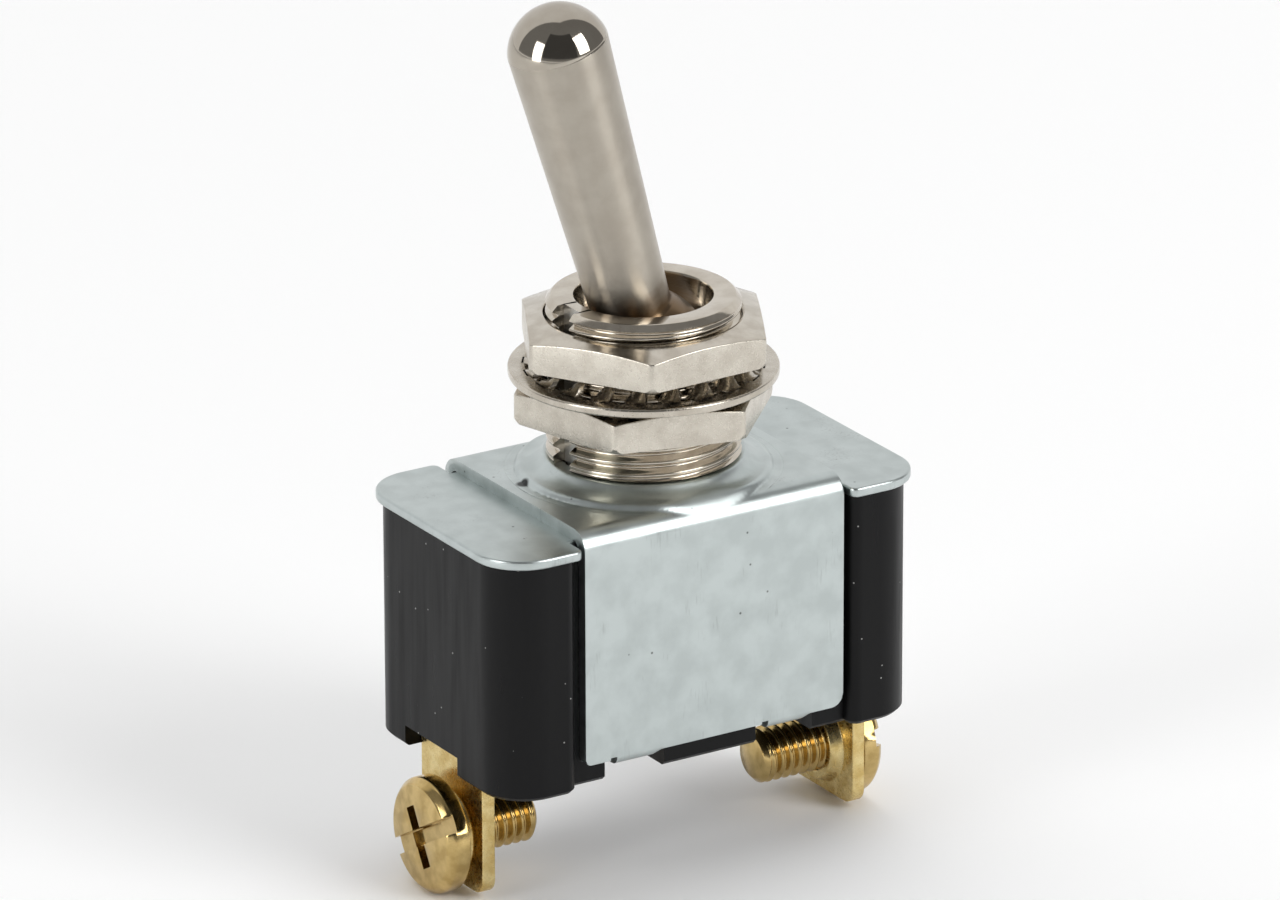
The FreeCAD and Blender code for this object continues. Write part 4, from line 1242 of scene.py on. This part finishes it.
@dataclass
class TerminalScrew:
    """Binding-head brass screw with a slot and a cross recess."""

    node: str
    body: str
    side: int
    seat: float
    slot_turn: float
    axis_height: float = -21.9
    tip: float = -6.0
    tip_radius: float = 1.4
    thread: ThreadForm = field(default_factory=lambda: ThreadForm(
        radius=1.75, depth=0.36, pitch=0.635, start=-5.7, end=-0.25, rows_per_pitch=16))
    head: tuple[Point, ...] = (
        (1.72, 0.0, 0.0), (3.65, 0.0, 0.12), (3.65, 1.02, 0.45), (3.25, 1.46, 0.4),
        (2.0, 1.58, 0.8), (0.0, 1.6, 0.0))
    recesses: tuple[Point, ...] = ((4.0, 0.53, 0.85), (0.47, 1.95, 0.5), (1.95, 0.47, 0.5))
    clear: float = 2.0
    columns: int = 96

    def build(self) -> None:
        """Build and dress the screw.

        The head is an outline of radius, height and rounding. A recess is half its length,
        half its width and the height of its floor.
        """
        place = (Matrix.Translation((self.side * self.seat, 0.0, self.axis_height))
                 @ Matrix.Rotation(math.radians(90 * self.side), 4, "Y")
                 @ Matrix.Rotation(math.radians(self.slot_turn), 4, "Z"))
        form = self.thread
        rows = level_rows([(0.0, self.tip), (self.tip_radius - 0.04, self.tip),
                           (self.tip_radius, self.tip + 0.03)])
        for height in form.heights():
            chamfer = self.tip_radius + height - self.tip
            rows.append((lambda turn, height=height, chamfer=chamfer: min(
                form.radius_at(turn, height), chamfer), height))
        rows += level_rows(round_profile(self.head, 5))
        piece = lathe(f"{self.node}_body", rows, self.columns, sharp=40.0, placement=place)
        carve(piece, [block((-x, -y, floor), (x, y, self.clear), place)
                      for x, y, floor in self.recesses])
        piece.data.shade_smooth()
        piece.data.set_sharp_from_angle(angle=math.radians(40))
        soften(piece, 0.07, 50.0)
        settle(piece, self.body, self.node, "screw_brass",
               Brass("turned_brass", "#cfb47a", "#b59a62", 0.18, grain=0.3))


@dataclass
class Terminal:
    """Bent brass strip with its extruded collar."""

    node: str

    def build(self) -> None:
        """Dress a copy of the terminal."""
        piece = refined_copy(self.node)
        soften(piece, 0.08, 35.0)
        settle(piece, "case", self.node, "terminal_brass",
               Brass("rolled_brass", "#e6d095", "#d0b473", 0.26, grain=0.25))


@dataclass
class ContactSpring:
    """Coil spring between the carriage and the bridge, shorter when the bridge lifts."""

    roof: float = -8.4
    travel: float = 0.4

    def build(self) -> None:
        """Dress a copy of the spring and give it a mesh of its own."""
        piece = refined_copy("contact_spring")
        settle(piece, "carriage", "contact_spring", "spring_steel", SPRING_STEEL)
        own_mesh(piece)


class InnerFinish(Enum):
    """Finishes of the pieces that the case hides, by node."""

    BALL_RETAINER = ("ball_retainer", SPRING_STEEL)
    PIVOT_PIN = ("pivot_pin", SPRING_STEEL)
    INSULATOR = ("insulator_sheet", PlainMoulding())
    CARRIAGE = ("contact_carriage", PlainMoulding("moulded_brown_phenolic", "#4a2a1c", "#382016", 0.45))
    BRIDGE = ("contact_bridge", Brass("rolled_copper", "#c9805a", "#a8623f"))
    LEFT_BUTTON = ("contact_button_left", CONTACT_SILVER)
    RIGHT_BUTTON = ("contact_button_right", CONTACT_SILVER)
    LEFT_CONTACT = ("fixed_contact_left", CONTACT_SILVER)
    RIGHT_CONTACT = ("fixed_contact_right", CONTACT_SILVER)


def dress_inner_nodes() -> None:
    """Give each CAD node that stays its own finish."""
    for item in InnerFinish:
        node, finish = item.value
        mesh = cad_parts[node].data
        mesh.materials.clear()
        mesh.materials.append(finish.material())
        LOG.info("%s keeps its solid in %s", node, finish.name)


# Studio


@dataclass
class Studio:
    """Pale floor, white background, soft lamps and the photo's camera.

    Angles are in degrees, and the camera's place is in mm from the origin.
    """

    azimuth: float = -31.86
    elevation: float = 20.79
    roll: float = -0.15
    distance: float = 625.1
    lens: float = 289.37
    aim_right: float = -0.234
    aim_up: float = 0.898
    drop: float = 1.0
    floor_half: float = 3000.0
    card_columns: int = 40
    card_rows: int = 16

    def build(self) -> None:
        """Build all of it: two soft boxes, one lamp above, and the walls of a light tent."""
        self.camera()
        self.world()
        self.floor()
        self.lamp("left_box", (-0.95, -0.11, 0.30), 0.9, (0.34, 0.6), 2.6)
        self.lamp("right_box", (0.38, -0.76, 0.52), 0.9, (0.42, 0.6), 4.2)
        self.lamp("top_box", (0.1, 0.2, 1.0), 1.2, (1.6, 1.6), 5.5, shown=False)
        self.card("tent_wall", (-225.0, 5.0), (2.0, 90.0), 1.5, 0.25)
        self.card("back_wall", (5.0, 135.0), (2.0, 90.0), 1.5, 0.9)
        self.card("camera_side", (-160.0, -82.0), (8.0, 60.0), 1.15, 0.08)

    def camera(self) -> None:
        """Put the camera where the photo was taken."""
        facing = Matrix.Identity(3)
        for angle, axis in ((self.azimuth, "Z"), (90 - self.elevation, "X"), (self.roll, "Z")):
            facing = facing @ Matrix.Rotation(math.radians(angle), 3, axis)
        data = bpy.data.cameras.new("photo_camera")
        data.lens = self.lens
        data.sensor_width = 36.0
        data.sensor_fit = "HORIZONTAL"
        data.clip_start = 0.05
        data.clip_end = 20.0
        camera = bpy.data.objects.new("photo_camera", data)
        spot = facing @ Vector((self.aim_right, self.aim_up, self.distance))
        spot.z -= self.drop
        camera.matrix_world = Matrix.Translation(spot * MM) @ facing.to_4x4()
        bpy.context.scene.collection.objects.link(camera)
        bpy.context.scene.camera = camera

    def world(self) -> None:
        """Light the scene softly from all round and show white behind it."""
        world = bpy.data.worlds.new("studio")
        bpy.context.scene.world = world
        world.use_nodes = True
        world.node_tree.nodes.clear()
        add = partial(add_node, world.node_tree)
        path = add("LightPath").outputs
        seen = add("Math", {0: path["Is Camera Ray"], 1: path["Is Glossy Ray"]}, operation="MAXIMUM")
        clear = add("Math", {0: seen, 1: path["Is Transmission Ray"]}, operation="MAXIMUM")
        dim = add("Background", {"Color": grey(1.0), "Strength": 0.5})
        white = add("Background", {"Color": grey(1.0), "Strength": 1.0})
        both = add("MixShader", {0: clear, 1: dim, 2: white})
        add("OutputWorld", {"Surface": both})

    def floor(self) -> None:
        """Lay a pale floor under the terminals."""
        foot, half = CAD_BOX[0][2] / MM, self.floor_half
        points = [(x, y, foot) for y in (-half, half) for x in (-half, half)]
        floor = mesh_piece("floor", points, grid_faces(2, 2, loop_columns=False), closed=False)
        made = bpy.data.materials.new("pale_floor")
        made.use_nodes = True
        connect(made.node_tree.nodes["Principled BSDF"], {
            "Base Color": linear("#fcfcfc"), "Roughness": 0.8})
        floor.data.materials.append(made)
        floor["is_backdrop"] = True

    def lamp(self, name: str, toward: Point, distance: float, size: Flat,
             power: float, shown: bool = True) -> None:
        """Hang a soft area lamp.

        Args:
            name: The lamp's name.
            toward: Direction from the object to the lamp.
            distance: In metres.
            size: Width and height in metres.
            power: In watts.
            shown: Whether gloss shows the lamp.
        """
        data = bpy.data.lights.new(name, "AREA")
        data.shape = "RECTANGLE"
        data.size, data.size_y = size
        data.energy = power
        made = bpy.data.objects.new(name, data)
        spot = Vector(toward).normalized() * distance
        made.location = spot
        made.visible_glossy = shown
        made.rotation_euler = spot.to_track_quat("Z", "Y").to_euler()
        bpy.context.scene.collection.objects.link(made)

    def card(self, name: str, turns: Flat, rises: Flat, distance: float, level: float) -> None:
        """Hang a curved card that lights the part unseen, as a wall of a light tent.

        Args:
            name: The card's name.
            turns: First and last angle about the vertical, in degrees from +X.
            rises: Lowest and highest angle above the floor, in degrees.
            distance: In metres.
            level: Its brightness, where 1 is white.
        """
        reach = distance / MM
        points = [polar(reach * math.cos(rise), turn, reach * math.sin(rise))
                  for rise in map(math.radians, spread(*rises, self.card_rows))
                  for turn in map(math.radians, spread(*turns, self.card_columns))]
        faces = grid_faces(self.card_rows + 1, self.card_columns + 1, loop_columns=False)
        card = mesh_piece(name, points, faces, closed=False)
        made = bpy.data.materials.new(name)
        made.use_nodes = True
        made.node_tree.nodes.clear()
        add = partial(add_node, made.node_tree)
        path = add("LightPath").outputs
        lit = add("Emission", {"Color": grey(1.0), "Strength": level})
        unseen = add("BsdfTransparent")
        both = add("MixShader", {0: path["Is Camera Ray"], 1: lit, 2: unseen})
        add("OutputMaterial", {"Surface": both})
        card.data.materials.append(made)
        card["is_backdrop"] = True


def write_sizes() -> None:
    """Put the CAD box and the dressed model's box side by side in a dictionary, which is dropped."""
    def plain(box: Sequence[Sequence[float]]) -> list[list[float]]:
        """Return a box as plain lists."""
        return [[float(step) for step in corner] for corner in box]
    {"cad": plain(CAD_BOX), "visual": plain(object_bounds())}


def main() -> None:
    """Build the switch and its studio."""
    logging.basicConfig(level=logging.INFO, format="%(name)s: %(message)s")
    bpy.context.scene.view_settings.view_transform = "Standard"
    Studio().build()
    Bushing().build()
    Lever().build()
    HexNut("lower_hex_nut", "lower_nut", 45.74).build()
    HexNut("upper_hex_nut", "upper_nut", 1.84).build()
    LockWasher().build()
    Bracket().build()
    Case().build()
    Terminal("terminal_left").build()
    Terminal("terminal_right").build()
    TerminalScrew("terminal_screw_left", "left_screw", -1, 14.6, 120.0).build()
    TerminalScrew("terminal_screw_right", "right_screw", 1, 13.8, 75.0).build()
    ContactSpring().build()
    dress_inner_nodes()
    write_sizes()


if __name__ == "__main__":
    main()
